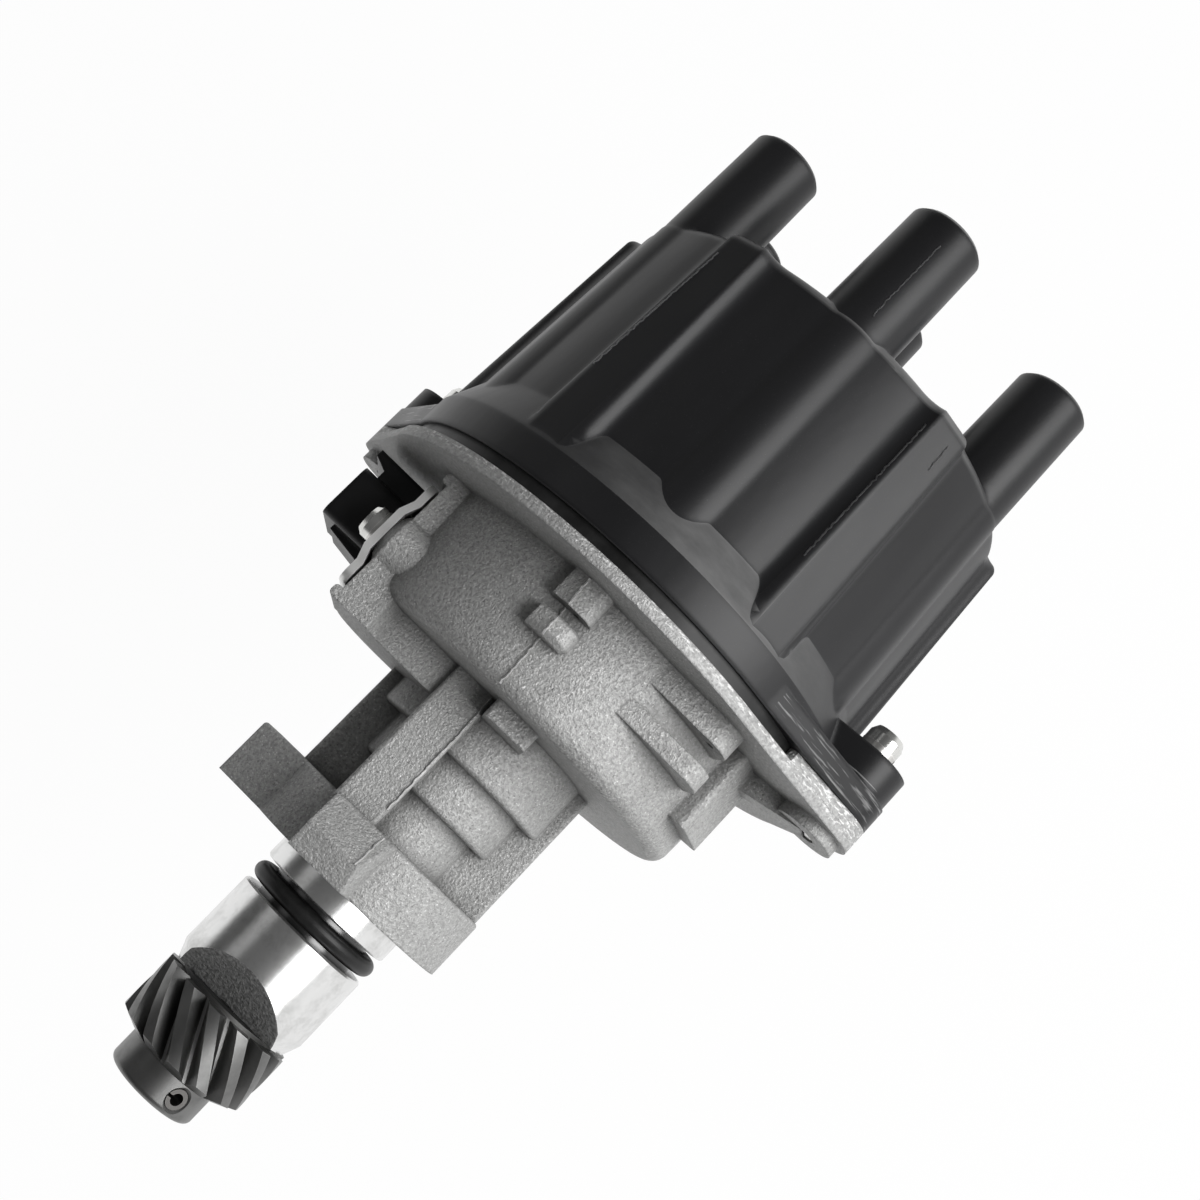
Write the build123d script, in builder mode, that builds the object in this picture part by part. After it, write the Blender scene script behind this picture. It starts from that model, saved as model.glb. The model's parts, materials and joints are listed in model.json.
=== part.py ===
"""Ignition distributor for a six-cylinder engine.

The distributor stands along Z with its cap up.  The origin is on the shaft axis, at the underside
of the mounting flange, which is the face that sits on the engine.  X runs to the right and Y to
the back, so the front of the object faces -Y.  All sizes are in millimetres.
"""
from build123d import *
import os
from math import acos, atan2, cos, degrees, hypot, radians, sin, tan

os.makedirs("parts", exist_ok=True)

# Clearances shared by all the fits
seat_gap = 0.02
run_gap = 0.04
air_gap = 0.3
hole_gap = 0.25

# Rounding of the casting's outer edges
casting_round = 0.8

# Mounting flange with its clamp arm
flange_thick = 12.5
flange_radius = 23.8
arm_left = 33.0
arm_front = 4.0
arm_root = 14.5
arm_tail_angle = 60.0
arm_half_length = 11.8
arm_corner_round = 6.0
arm_margin = 7.2
slot_angle = 135.0
slot_circle = 29.5
slot_width = 8.6
slot_length = 16.0

# Wedge-shaped nose on the front of the flange
nose_left = 12.6
nose_right = 0.7
nose_foot_right = 2.4
nose_reach = 30.0
nose_foot_reach = 28.0
nose_top_reach = 25.0
nose_ridge_z = 5.6

# Pilot journal below the flange
journal_radius = 15.0
journal_length = 29.7
journal_tip_drop = 1.3
journal_tip_height = 3.2
edge_break = 0.4
oring_section = 3.6
oring_proud = 0.15
groove_depth = 7.9
groove_width = 5.6
relief_start = 21.4
relief_slope = 45.0
relief_angle = -97.0

# Stepped neck, its webs and ribs
neck_low_radius = 12.3
neck_low_height = 9.5
neck_mid_radius = 16.2
neck_mid_height = 9.4
neck_top_radius = 20.4
neck_top_height = 12.8
neck_round = 1.0
web_half_width = 23.0
web_thick = 5.0
rib_left = 13.3
rib_right = 3.8
rib_front = 22.0
tab_left = 3.7
tab_right = 6.3
tab_front = 30.5
tab_height = 4.0

# Bowl and its rim
bowl_radius = 41.8
bowl_foot_radius = 40.9
bowl_height = 24.5
bowl_round = 3.2
bowl_wall = 3.6
bowl_floor = 3.1
rim_radius = 55.0
rim_thick = 2.5

# Flat left side of the bowl, with the pad for the bracket, its lips and the lobe below it
side_face = 38.3
side_wall = 3.3
side_pad_half = 24.0
side_pad_depth = 8.0
lip_height = 2.4
lip_proud = 1.5
lip_length = 8.0
lip_round = 0.9
lobe_depth = 7.3
lobe_step = 28.0
lobe_front = 20.0
lobe_round = 12.0
lobe_right = 7.5
lobe_back = 7.0
lobe_floor = 3.2
bracket_hole_y = 20.0
bracket_drop = 16.2
bracket_boss_radius = 6.4
bracket_boss_taper = 2.2
bracket_boss_length = 13.0

# Cast bosses on the outside of the bowl
clip_left = 9.7
clip_right = 0.5
clip_front = 45.2
clip_peak = 6.3
clip_slope = 1.5
clip_round = 3.0
clip_depth = 8.0
upper_clip_height = 6.2
lower_clip_drop = 8.6
lower_clip_height = 4.6
lower_clip_bevel = 1.1
ledge_left = 12.4
ledge_right = 34.2
ledge_end_front = 38.6
ledge_back = 27.0
ledge_round = 5.0
ledge_sink = 0.5
upper_ledge_height = 5.0
lower_ledge_drop = 9.2
lower_ledge_height = 3.9
pad_angle = -25.0
pad_width = 15.0
pad_round = 1.5
pad_front = 44.6
pad_height = 17.8
pad_depth = 8.0
mark_radius = 1.0
mark_depth = 1.5
mark_inset = 3.4

# Screw lugs, shared by the housing and the cap
lug_angle = -22.0
lug_count = 2
lug_overhang = 3.8
lug_end_radius = 8.3
lug_spread = 33.0
lug_pad_spread = 18.5
lug_gap = 0.1
lug_boss_radius = 6.6
lug_boss_height = 2.5
gusset_thick = 5.0
gusset_drop = 5.2

# Cap seal
seal_thick = 2.8
seal_inset = 0.9
seal_width = 3.6

# Cap body
cap_skirt_inset = 1.3
cap_skirt_height = 6.8
cap_skirt_wall = 3.4
cap_shoulder_width = 3.1
cap_shoulder_height = 9.8
cap_shoulder_round = 7.0
cap_height = 62.3
cap_draft = 2.5
cap_top_round = 2.4
cap_wall = 4.6
cap_deck_thick = 4.6
flute_radius = 11.0
flute_blend = 2.6
rib_width = 12.5
rib_proud = 2.7
rib_inset = 12.0
cap_lug_thick = 5.3
cap_lug_height = 12.0
cap_lug_inset = 0.4
cap_lug_length = 12.0

# Towers, their sockets and the columns inside the cap
tower_count = 6
tower_inset = 9.74
tower_turn = -94.65
tower_tip_radius = 8.15
tower_root_radius = 8.5
tower_height = 26.8
tower_sink = 9.0
tower_edge = 0.8
socket_radius = 5.2
socket_depth = 20.0
column_radius = 6.2
column_length = 21.5
boss_radius = 7.0
boss_length = 20.0

# Terminals and carbon brush
cup_radius = 4.0
cup_height = 7.0
cup_bore = 2.9
cup_bore_depth = 5.0
stem_radius = 2.4
electrode_radius = 3.0
electrode_length = 11.5
spark_gap = 0.8
brush_radius = 2.5
brush_length = 13.0
brush_rest_gap = 0.1
spring_wire = 0.5
spring_turns = 6.0
spring_side_gap = 0.25

# Rotor
rotor_turn = 60.0
strip_thick = 1.2
strip_width = 6.0
strip_tail = 5.0
rotor_arm_thick = 4.6
rotor_arm_root = 7.5
rotor_arm_tip = 4.4
rotor_arm_inset = 3.0
rotor_tail = 19.0
rotor_hub_radius = 11.0
rotor_cover_gap = 5.25
rotor_disc_radius = 16.0
rotor_disc_thick = 2.2
rotor_flat = 4.6
rotor_screw_rise = 9.0
rotor_screw_radius = 2.0
rotor_head_radius = 3.4
rotor_head_height = 2.4

# Shaft, ball bearing, lower bush and shaft seal
shaft_radius = 6.0
shaft_end_gap = 0.4
shoulder_radius = 8.2
shoulder_height = 8.0
shaft_top_gap = 3.0
bore_radius = 6.8
bush_wall = 1.5
bush_length = 18.0
bush_drop = 6.0
bearing_radius = 16.0
bearing_width = 10.0
race_wall = 2.9
ball_radius = 2.97
ball_count = 8
ball_gap = 0.06
cage_wall = 1.3
cage_width = 7.2
snap_ring_thick = 1.2
snap_ring_depth = 0.6
snap_ring_reach = 1.6
shaft_seal_radius = 11.0
shaft_seal_height = 6.0
shaft_seal_gap = 0.3
ring_radius = 25.5
ring_rise = 1.7
retainer_thick = 1.6
retainer_inner = 13.6
retainer_screw_circle = 20.6
retainer_screw_count = 3

# Trigger disc, its hub and clamp plate
hub_radius = 12.0
hub_height = 3.2
disc_radius = 31.5
disc_thick = 0.6
slit_count = 36
slit_width = 1.3
slit_length = 3.0
slit_edge = 1.2
window_count = 6
window_circle = 23.5
window_width = 2.4
window_length = 5.0
clamp_thick = 1.4
disc_screw_circle = 9.2
disc_screw_count = 2
disc_screw_radius = 1.2
disc_head_radius = 2.1
disc_head_height = 1.6

# Sensor unit, which reaches over the rim of the disc
sensor_wall_gap = 3.4
sensor_nose = 21.0
sensor_foot_nose = 27.5
sensor_half_width = 13.0
sensor_height = 21.0
sensor_throat = 5.0
sensor_arm = 4.5
sensor_rim_gap = 0.9
ear_inset = 5.4
ear_y = 16.6
ear_radius = 3.7
ear_height = 3.6

# Dust cover under the rotor
cover_thick = 2.0
cover_seal_gap = 2.7
cover_hub_radius = 11.0
cover_hub_height = 5.0
cover_screw_circle = 36.2
cover_screw_count = 3
cover_boss_radius = 3.8

# Small machine screws
screw_radius = 1.5
screw_grip = 2.6
head_radius = 3.0
head_height = 2.0
driver_width = 0.9
driver_depth = 0.9

# Cap screws with plain and spring washers
cap_screw_radius = 2.5
cap_head_radius = 3.75
cap_head_height = 3.4
washer_radius = 4.2
washer_thick = 0.9
spring_washer_radius = 3.8
spring_washer_thick = 1.3
spring_washer_split = 0.8

# Drive gear with its collar, pin and thrust washer
gear_teeth = 13
gear_radius = 14.6
gear_root_radius = 11.0
gear_helix = 33.0
gear_length = 13.9
tooth_tip_width = 2.7
tooth_root_width = 4.6
tooth_crown = 0.12
gear_bevel_height = 2.3
gear_bevel_radius = 10.4
collar_radius = 9.75
collar_length = 6.7
collar_round = 1.3
thrust_washer_thick = 0.7
thrust_washer_radius = 11.5
thrust_gap = 0.05
pin_radius = 2.1
pin_bore = 1.25
pin_split = 0.6
pin_angle = -57.0
pin_rise = 3.6
pin_sink = 0.5
pin_chamfer = 0.7

# Connector, its bracket plate and screws
connector_drop = 14.45
connector_reach = 53.2
connector_height = 12.1
connector_width = 25.0
connector_wall = 1.4
connector_depth = 11.0
connector_round = 1.8
keel_depth = 2.2
keel_step = 1.0
keel_reach = 50.4
keel_width = 16.0
plug_height = 9.6
plug_width = 21.0
hood_gap = 2.3
hood_thick = 2.8
hood_lip = 1.5
hood_reach = 54.2
hood_width = 16.0
hood_neck_reach = 51.0
blade_count = 4
blade_pitch = 4.6
blade_width = 2.2
blade_thick = 0.8
blade_reach = 50.4
gasket_thick = 0.5
bracket_thick = 1.6
bracket_height = 24.6
bracket_half_width = 24.4
bracket_bulge = 1.1
bracket_bulge_height = 9.0
bracket_slope = 3.0
bracket_round = 2.5
bracket_screw_radius = 2.0
bracket_screw_grip = 4.6
bracket_head_radius = 3.5
bracket_head_height = 2.4

# Levels along the shaft axis
neck_mid_z = flange_thick + neck_low_height
neck_top_z = neck_mid_z + neck_mid_height
bowl_z = neck_top_z + neck_top_height
lobe_z = bowl_z - lobe_depth
floor_z = bowl_z + bowl_floor
ring_z = floor_z + ring_rise
bearing_z = ring_z - bearing_width
rim_z = bowl_z + bowl_height
rim_top = rim_z + rim_thick
cap_z = rim_top + seal_thick
skirt_top = cap_z + cap_skirt_height
deck_z = cap_z + cap_height
deck_under = deck_z - cap_deck_thick
tip_z = deck_z + tower_height
cup_z = tip_z - socket_depth - cup_height
column_end = deck_under - column_length
boss_end = deck_under - boss_length
strip_z = column_end - electrode_length / 2
arm_z = strip_z - rotor_arm_thick
shaft_top = arm_z - shaft_top_gap
brush_z = strip_z + strip_thick + brush_rest_gap
brush_top = brush_z + brush_length
stem_end = deck_under - cup_bore
hub_z = ring_z + shoulder_height
disc_z = hub_z + hub_height
clamp_z = disc_z + disc_thick
snap_ring_z = bearing_z - snap_ring_thick
shaft_seal_z = snap_ring_z - shaft_seal_gap - shaft_seal_height
bush_z = -bush_drop - bush_length
journal_end = -journal_length
gear_top = journal_end - thrust_washer_thick - 2 * thrust_gap
gear_z = gear_top - gear_length
collar_z = gear_z - collar_length
shaft_end = collar_z + shaft_end_gap
pin_z = collar_z + pin_rise
cap_lug_top = cap_z + cap_lug_height
bracket_z = rim_z - bracket_drop
connector_z = rim_z - connector_drop
cover_z = rim_top + cover_thick
rotor_z = cover_z + cover_hub_height + rotor_cover_gap

# Distances from the shaft axis
lug_screw_circle = rim_radius + lug_overhang
cap_skirt_radius = rim_radius - cap_skirt_inset
seal_radius = cap_skirt_radius - seal_inset
cover_radius = seal_radius - seal_width - cover_seal_gap
cap_body_radius = cap_skirt_radius - cap_shoulder_width
tower_circle = cap_body_radius - tower_inset
groove_radius = journal_radius + oring_proud - oring_section
bush_radius = shaft_radius + bush_wall
bowl_inner = bowl_radius - bowl_wall
sensor_back = bowl_inner - sensor_wall_gap
ear_x = sensor_back - ear_inset
inner_race_radius = shaft_radius + race_wall
outer_race_inner = bearing_radius - race_wall
ball_circle = (inner_race_radius + outer_race_inner) / 2
cap_inner = cap_body_radius - cap_wall
rotor_reach = tower_circle - electrode_radius - spark_gap
plate_face = side_face + gasket_thick
plate_top = plate_face + bracket_thick
plate_seat = plate_top + bracket_bulge
body_start = plate_seat + air_gap

# Corners for the alignment of solids that stand on, hang from or lie to one side of a point
stands = (Align.CENTER, Align.CENTER, Align.MIN)
hangs = (Align.CENTER, Align.CENTER, Align.MAX)


def on_circle(radius, angle, z=0.0):
    """A point at a distance from the axis, its angle counted from +X."""
    return (radius * cos(radians(angle)), radius * sin(radians(angle)), z)


def upright_plane(angle):
    """A plane through the shaft axis, with x pointing outwards at the angle and y up."""
    return Plane(origin=(0, 0, 0), x_dir=on_circle(1, angle), z_dir=on_circle(1, angle - 90))


def outward_plane(radius, angle, z):
    """A plane that faces outwards at a distance from the axis."""
    return Plane(origin=on_circle(radius, angle, z), z_dir=on_circle(1, angle))


def clip_outline():
    """Plan of a clip boss: it peaks at the mould's parting line and is rounded at its right end."""
    Polygon(
        (-clip_left, clip_depth - clip_front), (-clip_left, clip_slope - clip_front), (-clip_peak, -clip_front),
        (-clip_right, -clip_front), (-clip_right, clip_depth - clip_front), align=None,
    )
    fillet(vertices().sort_by(Axis.X)[-2:].sort_by(Axis.Y)[0], clip_round)


def lug_outline(base_radius, spread, end_radius):
    """Sketch each lug as a round end whose straight sides run back to a circle."""
    corner_x = base_radius * cos(radians(spread))
    corner_y = base_radius * sin(radians(spread))
    side_x = corner_x - lug_screw_circle
    touch = atan2(corner_y, side_x) - acos(end_radius / hypot(side_x, corner_y))
    touch_x = lug_screw_circle + end_radius * cos(touch)
    touch_y = end_radius * sin(touch)
    with PolarLocations(0, lug_count, lug_angle):
        Polygon(
            (0, 0), (corner_x, -corner_y), (touch_x, -touch_y), (touch_x, touch_y), (corner_x, corner_y),
            align=None,
        )
    with PolarLocations(lug_screw_circle, lug_count, lug_angle):
        Circle(end_radius)


def slotted_screw(seat_z, radius, length, screw_head_radius, screw_head_height):
    """A pan-head screw at each location, its head on seat_z and its shank below."""
    with Locations((0, 0, seat_z)):
        Cylinder(radius, length, align=hangs)
        Cylinder(screw_head_radius, screw_head_height * 0.6, align=stands)
    with Locations((0, 0, seat_z + screw_head_height * 0.6)):
        Cone(screw_head_radius, screw_head_radius * 0.8, screw_head_height * 0.4, align=stands)
    with Locations((0, 0, seat_z + screw_head_height)):
        Box(2 * screw_head_radius, driver_width, 2 * driver_depth, mode=Mode.SUBTRACT)


def finish(piece, name):
    """Label a finished piece and write it to a file of its own."""
    piece.part.label = name
    export_step(piece.part, f"parts/{name}.step")


# Places of the towers and their sockets, the centre one first
tower_places = [(0, 0, 0)]
tower_places += [on_circle(tower_circle, tower_turn + index * 360 / tower_count) for index in range(tower_count)]

# Nose of the flange, a wedge made from its outline and its side view
with BuildPart() as flange_nose:
    with BuildSketch(Plane.XY):
        Polygon(
            (-nose_left, -arm_root), (-nose_left, -nose_reach), (-nose_right, -nose_reach),
            (nose_foot_right, -flange_radius + 1), (nose_foot_right, -arm_root), align=None,
        )
    extrude(amount=flange_thick)
    with BuildSketch(Plane.YZ):
        Polygon(
            (0, 0), (-nose_foot_reach, 0), (-nose_reach, nose_ridge_z), (-nose_top_reach, flange_thick),
            (0, flange_thick), align=None,
        )
    extrude(amount=arm_left, both=True, mode=Mode.INTERSECT)

# Flange with its nose and the arm that the clamp bolt holds
arm_reach = slot_circle + slot_width / 2 + arm_margin
tail_x, tail_y, _ = on_circle(arm_reach, slot_angle)
side_x, side_y, _ = on_circle(arm_half_length, slot_angle - 90)
with BuildPart() as flange:
    with BuildSketch(Plane.XY):
        Polygon(
            (-arm_left, -arm_front), (-nose_left, -arm_root), (0, -arm_root),
            on_circle(flange_radius, arm_tail_angle)[:2], (tail_x + side_x, tail_y + side_y),
            (-arm_left, tail_y + tail_x + arm_left), align=None,
        )
        fillet(vertices().sort_by(Axis.Y)[-2:], arm_corner_round)
        Circle(flange_radius)
    extrude(amount=flange_thick)
    add(flange_nose.part)
    fillet(faces().sort_by(Axis.Z)[-1].edges(), casting_round)
    with BuildSketch(Plane.XY):
        with PolarLocations(slot_circle, 1, slot_angle):
            SlotOverall(slot_length, slot_width, rotation=90)
    extrude(amount=flange_thick, mode=Mode.SUBTRACT)

# Lower clip boss, with its front edges bevelled
with BuildPart() as lower_clip:
    with BuildSketch(Plane.XY.offset(rim_z - lower_clip_drop)):
        clip_outline()
    extrude(amount=-lower_clip_height)
    chamfer(faces().sort_by(Axis.Z)[0].edges().sort_by(Axis.Y)[:3], lower_clip_bevel)
    chamfer(faces().sort_by(Axis.Z)[-1].edges().sort_by(Axis.Y)[:3], lower_clip_bevel / 2)

# Left side of the housing: the pad for the bracket and the lobe that reaches below the bowl
with BuildPart() as side_lobe:
    with BuildSketch(Plane.XY.offset(lobe_z)):
        Polygon(
            (-side_face, -side_pad_half), (-side_face + side_pad_depth, -side_pad_half),
            (-lobe_step, -lobe_front), (-lobe_right, -lobe_front), (-lobe_right, lobe_back),
            (-side_face, lobe_back), align=None,
        )
        fillet(vertices().sort_by(Axis.Y)[-2:].sort_by(Axis.X)[0], lobe_round)
    extrude(amount=rim_z - lobe_z)
    with Locations((-side_face, 0, rim_z)):
        Box(
            side_pad_depth, 2 * side_pad_half, bracket_drop + bracket_height / 2 + air_gap,
            align=(Align.MIN, Align.CENTER, Align.MAX),
        )

# Space inside the bowl, with the bores for bearing, seal, shaft and bush below it
with BuildPart() as bowl_space:
    with BuildSketch(Plane.XZ):
        Polygon(
            (0, journal_end - 1), (bore_radius, journal_end - 1), (bore_radius, bush_z),
            (bush_radius + seat_gap, bush_z), (bush_radius + seat_gap, -bush_drop),
            (bore_radius, -bush_drop), (bore_radius, shaft_seal_z - shaft_seal_gap),
            (shaft_seal_radius + seat_gap, shaft_seal_z - shaft_seal_gap), (shaft_seal_radius + seat_gap, bearing_z),
            (bearing_radius + seat_gap, bearing_z), (bearing_radius + seat_gap, ring_z),
            (ring_radius, ring_z), (ring_radius, floor_z), (bowl_inner, floor_z), (bowl_inner, rim_top + 1),
            (0, rim_top + 1), align=None,
        )
    revolve(axis=Axis.Z)
    with Locations((-side_face + side_wall, 0, floor_z)):
        Box(
            bowl_radius, 2 * bowl_radius, bowl_height + 2 * rim_thick,
            align=(Align.MAX, Align.CENTER, Align.MIN), mode=Mode.SUBTRACT,
        )
    with PolarLocations(cover_screw_circle, cover_screw_count):
        with Locations((0, 0, floor_z)):
            Cylinder(cover_boss_radius, rim_top - floor_z, align=stands, mode=Mode.SUBTRACT)

# Housing, one casting from the pilot journal to the rim
with BuildPart() as housing:
    with BuildSketch(Plane.XZ):
        with BuildLine():
            outline = (
                ((0, journal_end), 0),
                ((journal_radius - journal_tip_drop, journal_end), 0),
                ((journal_radius, journal_end + journal_tip_height), 0),
                ((journal_radius, -groove_depth - groove_width / 2 - edge_break), 0),
                ((journal_radius - edge_break, -groove_depth - groove_width / 2), 0),
                ((groove_radius, -groove_depth - groove_width / 2), 0),
                ((groove_radius, -groove_depth + groove_width / 2), 0),
                ((journal_radius - edge_break, -groove_depth + groove_width / 2), 0),
                ((journal_radius, -groove_depth + groove_width / 2 + edge_break), 0),
                ((journal_radius, flange_thick / 2), 0),
                ((neck_low_radius, flange_thick / 2), 0),
                ((neck_low_radius, neck_mid_z), 0),
                ((neck_mid_radius, neck_mid_z), neck_round),
                ((neck_mid_radius, neck_top_z), 0),
                ((neck_top_radius, neck_top_z), neck_round),
                ((neck_top_radius, bowl_z), 0),
                ((bowl_foot_radius, bowl_z), bowl_round),
                ((bowl_radius, rim_z), 0),
                ((rim_radius, rim_z), 0),
                ((rim_radius, rim_top), 0),
                ((0, rim_top), 0),
            )
            FilletPolyline(*[point for point, _ in outline], radius=[size for _, size in outline], close=True)
        make_face()
    revolve(axis=Axis.Z)
    add(flange.part)
    # Web across the neck, ribs before and behind it, and the tab under the bowl
    with BuildSketch(Plane.XY.offset(flange_thick - casting_round)):
        RectangleRounded(2 * web_half_width, web_thick, casting_round)
        with Locations((-(rib_left + rib_right) / 2, -rib_front / 2), (0, rib_front / 2)):
            RectangleRounded(rib_left - rib_right, rib_front, casting_round)
    extrude(amount=bowl_z - flange_thick + casting_round)
    with BuildSketch(Plane.XY.offset(bowl_z)):
        with Locations(((tab_right - tab_left) / 2, -tab_front)):
            RectangleRounded(
                tab_left + tab_right, tab_front - neck_mid_radius, casting_round,
                align=(Align.CENTER, Align.MIN),
            )
    extrude(amount=-tab_height)
    # Gussets under the screw lugs
    for index in range(lug_count):
        with BuildSketch(upright_plane(lug_angle + index * 360 / lug_count)):
            Polygon(
                (bowl_inner, rim_z), (lug_screw_circle, rim_z), (lug_screw_circle, rim_z - lug_boss_height),
                (bowl_inner, rim_z - gusset_drop), align=None,
            )
        extrude(amount=gusset_thick / 2, both=True)
    # Flat left side with the lobe, the lips above and below the bracket and the bosses for its screws
    add(side_lobe.part)
    with Locations((-side_face, 0, lobe_z)):
        Box(
            bowl_radius, 2 * bowl_radius, rim_z - lobe_z, align=(Align.MAX, Align.CENTER, Align.MIN),
            mode=Mode.SUBTRACT,
        )
    for lip_start, lip_end, lip_z in (
        (-side_pad_half, -side_pad_half + lip_length, rim_z - lip_height / 2),
        (side_pad_half - lip_length, side_pad_half, rim_z - lip_height / 2),
        (-side_pad_half, lobe_back - lobe_round, lobe_z + lip_height / 2),
    ):
        with BuildSketch(Plane.XZ.offset(-lip_start)):
            with Locations((-side_face, lip_z)):
                RectangleRounded(2 * lip_proud, lip_height, lip_round)
        extrude(amount=lip_start - lip_end)
    with Locations(
        Plane(origin=(-side_face, -bracket_hole_y, bracket_z), z_dir=(-1, 0, 0)),
        Plane(origin=(-side_face, bracket_hole_y, bracket_z), z_dir=(-1, 0, 0)),
    ):
        Cylinder(bracket_boss_radius, bracket_boss_length, align=hangs)
        Cone(
            bracket_boss_radius, bracket_boss_radius - bracket_boss_taper, gasket_thick + bracket_bulge,
            align=stands,
        )
    # Clip bosses at the front, ledges to their right and the plain pad beside them
    with BuildSketch(Plane.XY.offset(rim_z)):
        clip_outline()
    extrude(amount=-upper_clip_height)
    add(lower_clip.part)
    ledge_start = ledge_sink - (bowl_radius**2 - ledge_left**2) ** 0.5
    for drop, height in ((0, upper_ledge_height), (lower_ledge_drop, lower_ledge_height)):
        with BuildSketch(Plane.XY.offset(rim_z - drop)):
            Polygon(
                (ledge_left, ledge_start), (ledge_right, -ledge_end_front), (ledge_right - 2, -ledge_back),
                (ledge_left, -ledge_back), align=None,
            )
            fillet(vertices().sort_by(Axis.X)[-2:].sort_by(Axis.Y)[0], ledge_round)
        extrude(amount=-height)
    with BuildSketch(Plane.XY.offset(rim_z)):
        with PolarLocations(pad_front, 1, pad_angle):
            RectangleRounded(pad_depth, pad_width, pad_round, align=(Align.MAX, Align.CENTER))
    extrude(amount=-pad_height)
    with Locations(
        (-clip_right - mark_inset, -clip_front + mark_inset, rim_z - upper_clip_height),
        (ledge_right - ledge_round, -ledge_end_front + mark_inset, rim_z - upper_ledge_height),
    ):
        Cylinder(mark_radius, mark_depth, align=stands, mode=Mode.SUBTRACT)
    # Lugs for the cap screws: rim plate, raised pad and boss below
    with BuildSketch(Plane.XY.offset(rim_z)):
        lug_outline(rim_radius, lug_spread, lug_end_radius)
        Circle(bowl_radius, mode=Mode.SUBTRACT)
    extrude(amount=rim_thick)
    with BuildSketch(Plane.XY.offset(rim_top)):
        lug_outline(rim_radius, lug_pad_spread, lug_end_radius)
        Circle(seal_radius + air_gap, mode=Mode.SUBTRACT)
    extrude(amount=seal_thick - lug_gap)
    with BuildSketch(Plane.XY.offset(rim_z)):
        with PolarLocations(lug_screw_circle, lug_count, lug_angle):
            Circle(lug_boss_radius)
    extrude(amount=-lug_boss_height)
    # Space inside, window for the connector and the space in the lobe
    add(bowl_space.part, mode=Mode.SUBTRACT)
    with Locations((-side_face + side_wall, 0, lobe_z + lobe_floor)):
        Box(
            side_face - side_wall - ring_radius, 2 * lobe_back, floor_z - lobe_z,
            align=(Align.MIN, Align.CENTER, Align.MIN), mode=Mode.SUBTRACT,
        )
    with Locations((-side_face, 0, connector_z)):
        Box(
            4 * side_wall, plug_width + 2 * hole_gap, plug_height + 2 * hole_gap, mode=Mode.SUBTRACT,
        )
    # Oblique cut at the journal's lower edge, which clears the gear that drives the shaft
    with BuildSketch(upright_plane(relief_angle)):
        Polygon(
            (journal_radius, -relief_start), (2 * journal_radius, -relief_start), (2 * journal_radius, journal_end),
            (journal_radius - (journal_length - relief_start) / tan(radians(relief_slope)), journal_end),
            align=None,
        )
    extrude(amount=journal_radius, both=True, mode=Mode.SUBTRACT)
    # Screw holes
    with BuildSketch(Plane.XY.offset(cap_z)):
        with PolarLocations(lug_screw_circle, lug_count, lug_angle):
            Circle(cap_screw_radius + seat_gap)
    extrude(amount=rim_z - lug_boss_height - cap_z, mode=Mode.SUBTRACT)
    with BuildSketch(Plane.XY.offset(ring_z)):
        with PolarLocations(retainer_screw_circle, retainer_screw_count):
            Circle(screw_radius + seat_gap)
    extrude(amount=-screw_grip - air_gap, mode=Mode.SUBTRACT)
    with BuildSketch(Plane.XY.offset(rim_top)):
        with PolarLocations(cover_screw_circle, cover_screw_count):
            Circle(screw_radius + seat_gap)
    extrude(amount=-screw_grip - air_gap, mode=Mode.SUBTRACT)
    with BuildSketch(Plane.XY.offset(floor_z)):
        with Locations((-ear_x, -ear_y), (-ear_x, ear_y)):
            Circle(screw_radius + seat_gap)
    extrude(amount=-screw_grip - air_gap, mode=Mode.SUBTRACT)
    with BuildSketch(Plane.YZ.offset(-plate_seat)):
        with Locations((-bracket_hole_y, bracket_z), (bracket_hole_y, bracket_z)):
            Circle(bracket_screw_radius + seat_gap)
    extrude(amount=plate_seat - side_face + bracket_screw_grip + air_gap, mode=Mode.SUBTRACT)
finish(housing, "housing")

# O-ring on the pilot journal
with BuildPart() as journal_o_ring:
    with BuildSketch(Plane.XZ):
        with Locations((groove_radius + seat_gap + oring_section / 2, -groove_depth)):
            Circle(oring_section / 2)
    revolve(axis=Axis.Z)
finish(journal_o_ring, "journal_o_ring")

# Seal between the rim and the cap
with BuildPart() as cap_seal:
    with BuildSketch(Plane.XY.offset(rim_top)):
        Circle(seal_radius)
        Circle(seal_radius - seal_width, mode=Mode.SUBTRACT)
    extrude(amount=seal_thick)
finish(cap_seal, "cap_seal")

# Space inside the cap, around the columns of the side terminals and the brush boss
with BuildPart() as cap_space:
    with BuildSketch(Plane.XY.offset(cap_z)):
        Circle(cap_inner)
    extrude(amount=deck_under - cap_z, taper=cap_draft)
    with BuildSketch(Plane.XZ):
        Polygon(
            (0, cap_z - 1), (cap_skirt_radius - cap_skirt_wall, cap_z - 1),
            (cap_skirt_radius - cap_skirt_wall, cap_z + cap_skirt_height - cap_skirt_wall),
            (cap_inner - 1, skirt_top + cap_shoulder_height - cap_skirt_wall),
            (0, skirt_top + cap_shoulder_height - cap_skirt_wall), align=None,
        )
    revolve(axis=Axis.Z)
    with BuildSketch(Plane.XY.offset(column_end)):
        with PolarLocations(tower_circle, tower_count, tower_turn):
            Circle(column_radius)
    extrude(amount=column_length + 1, mode=Mode.SUBTRACT)
    with BuildSketch(Plane.XY.offset(boss_end)):
        Circle(boss_radius)
    extrude(amount=boss_length + 1, mode=Mode.SUBTRACT)

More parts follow.
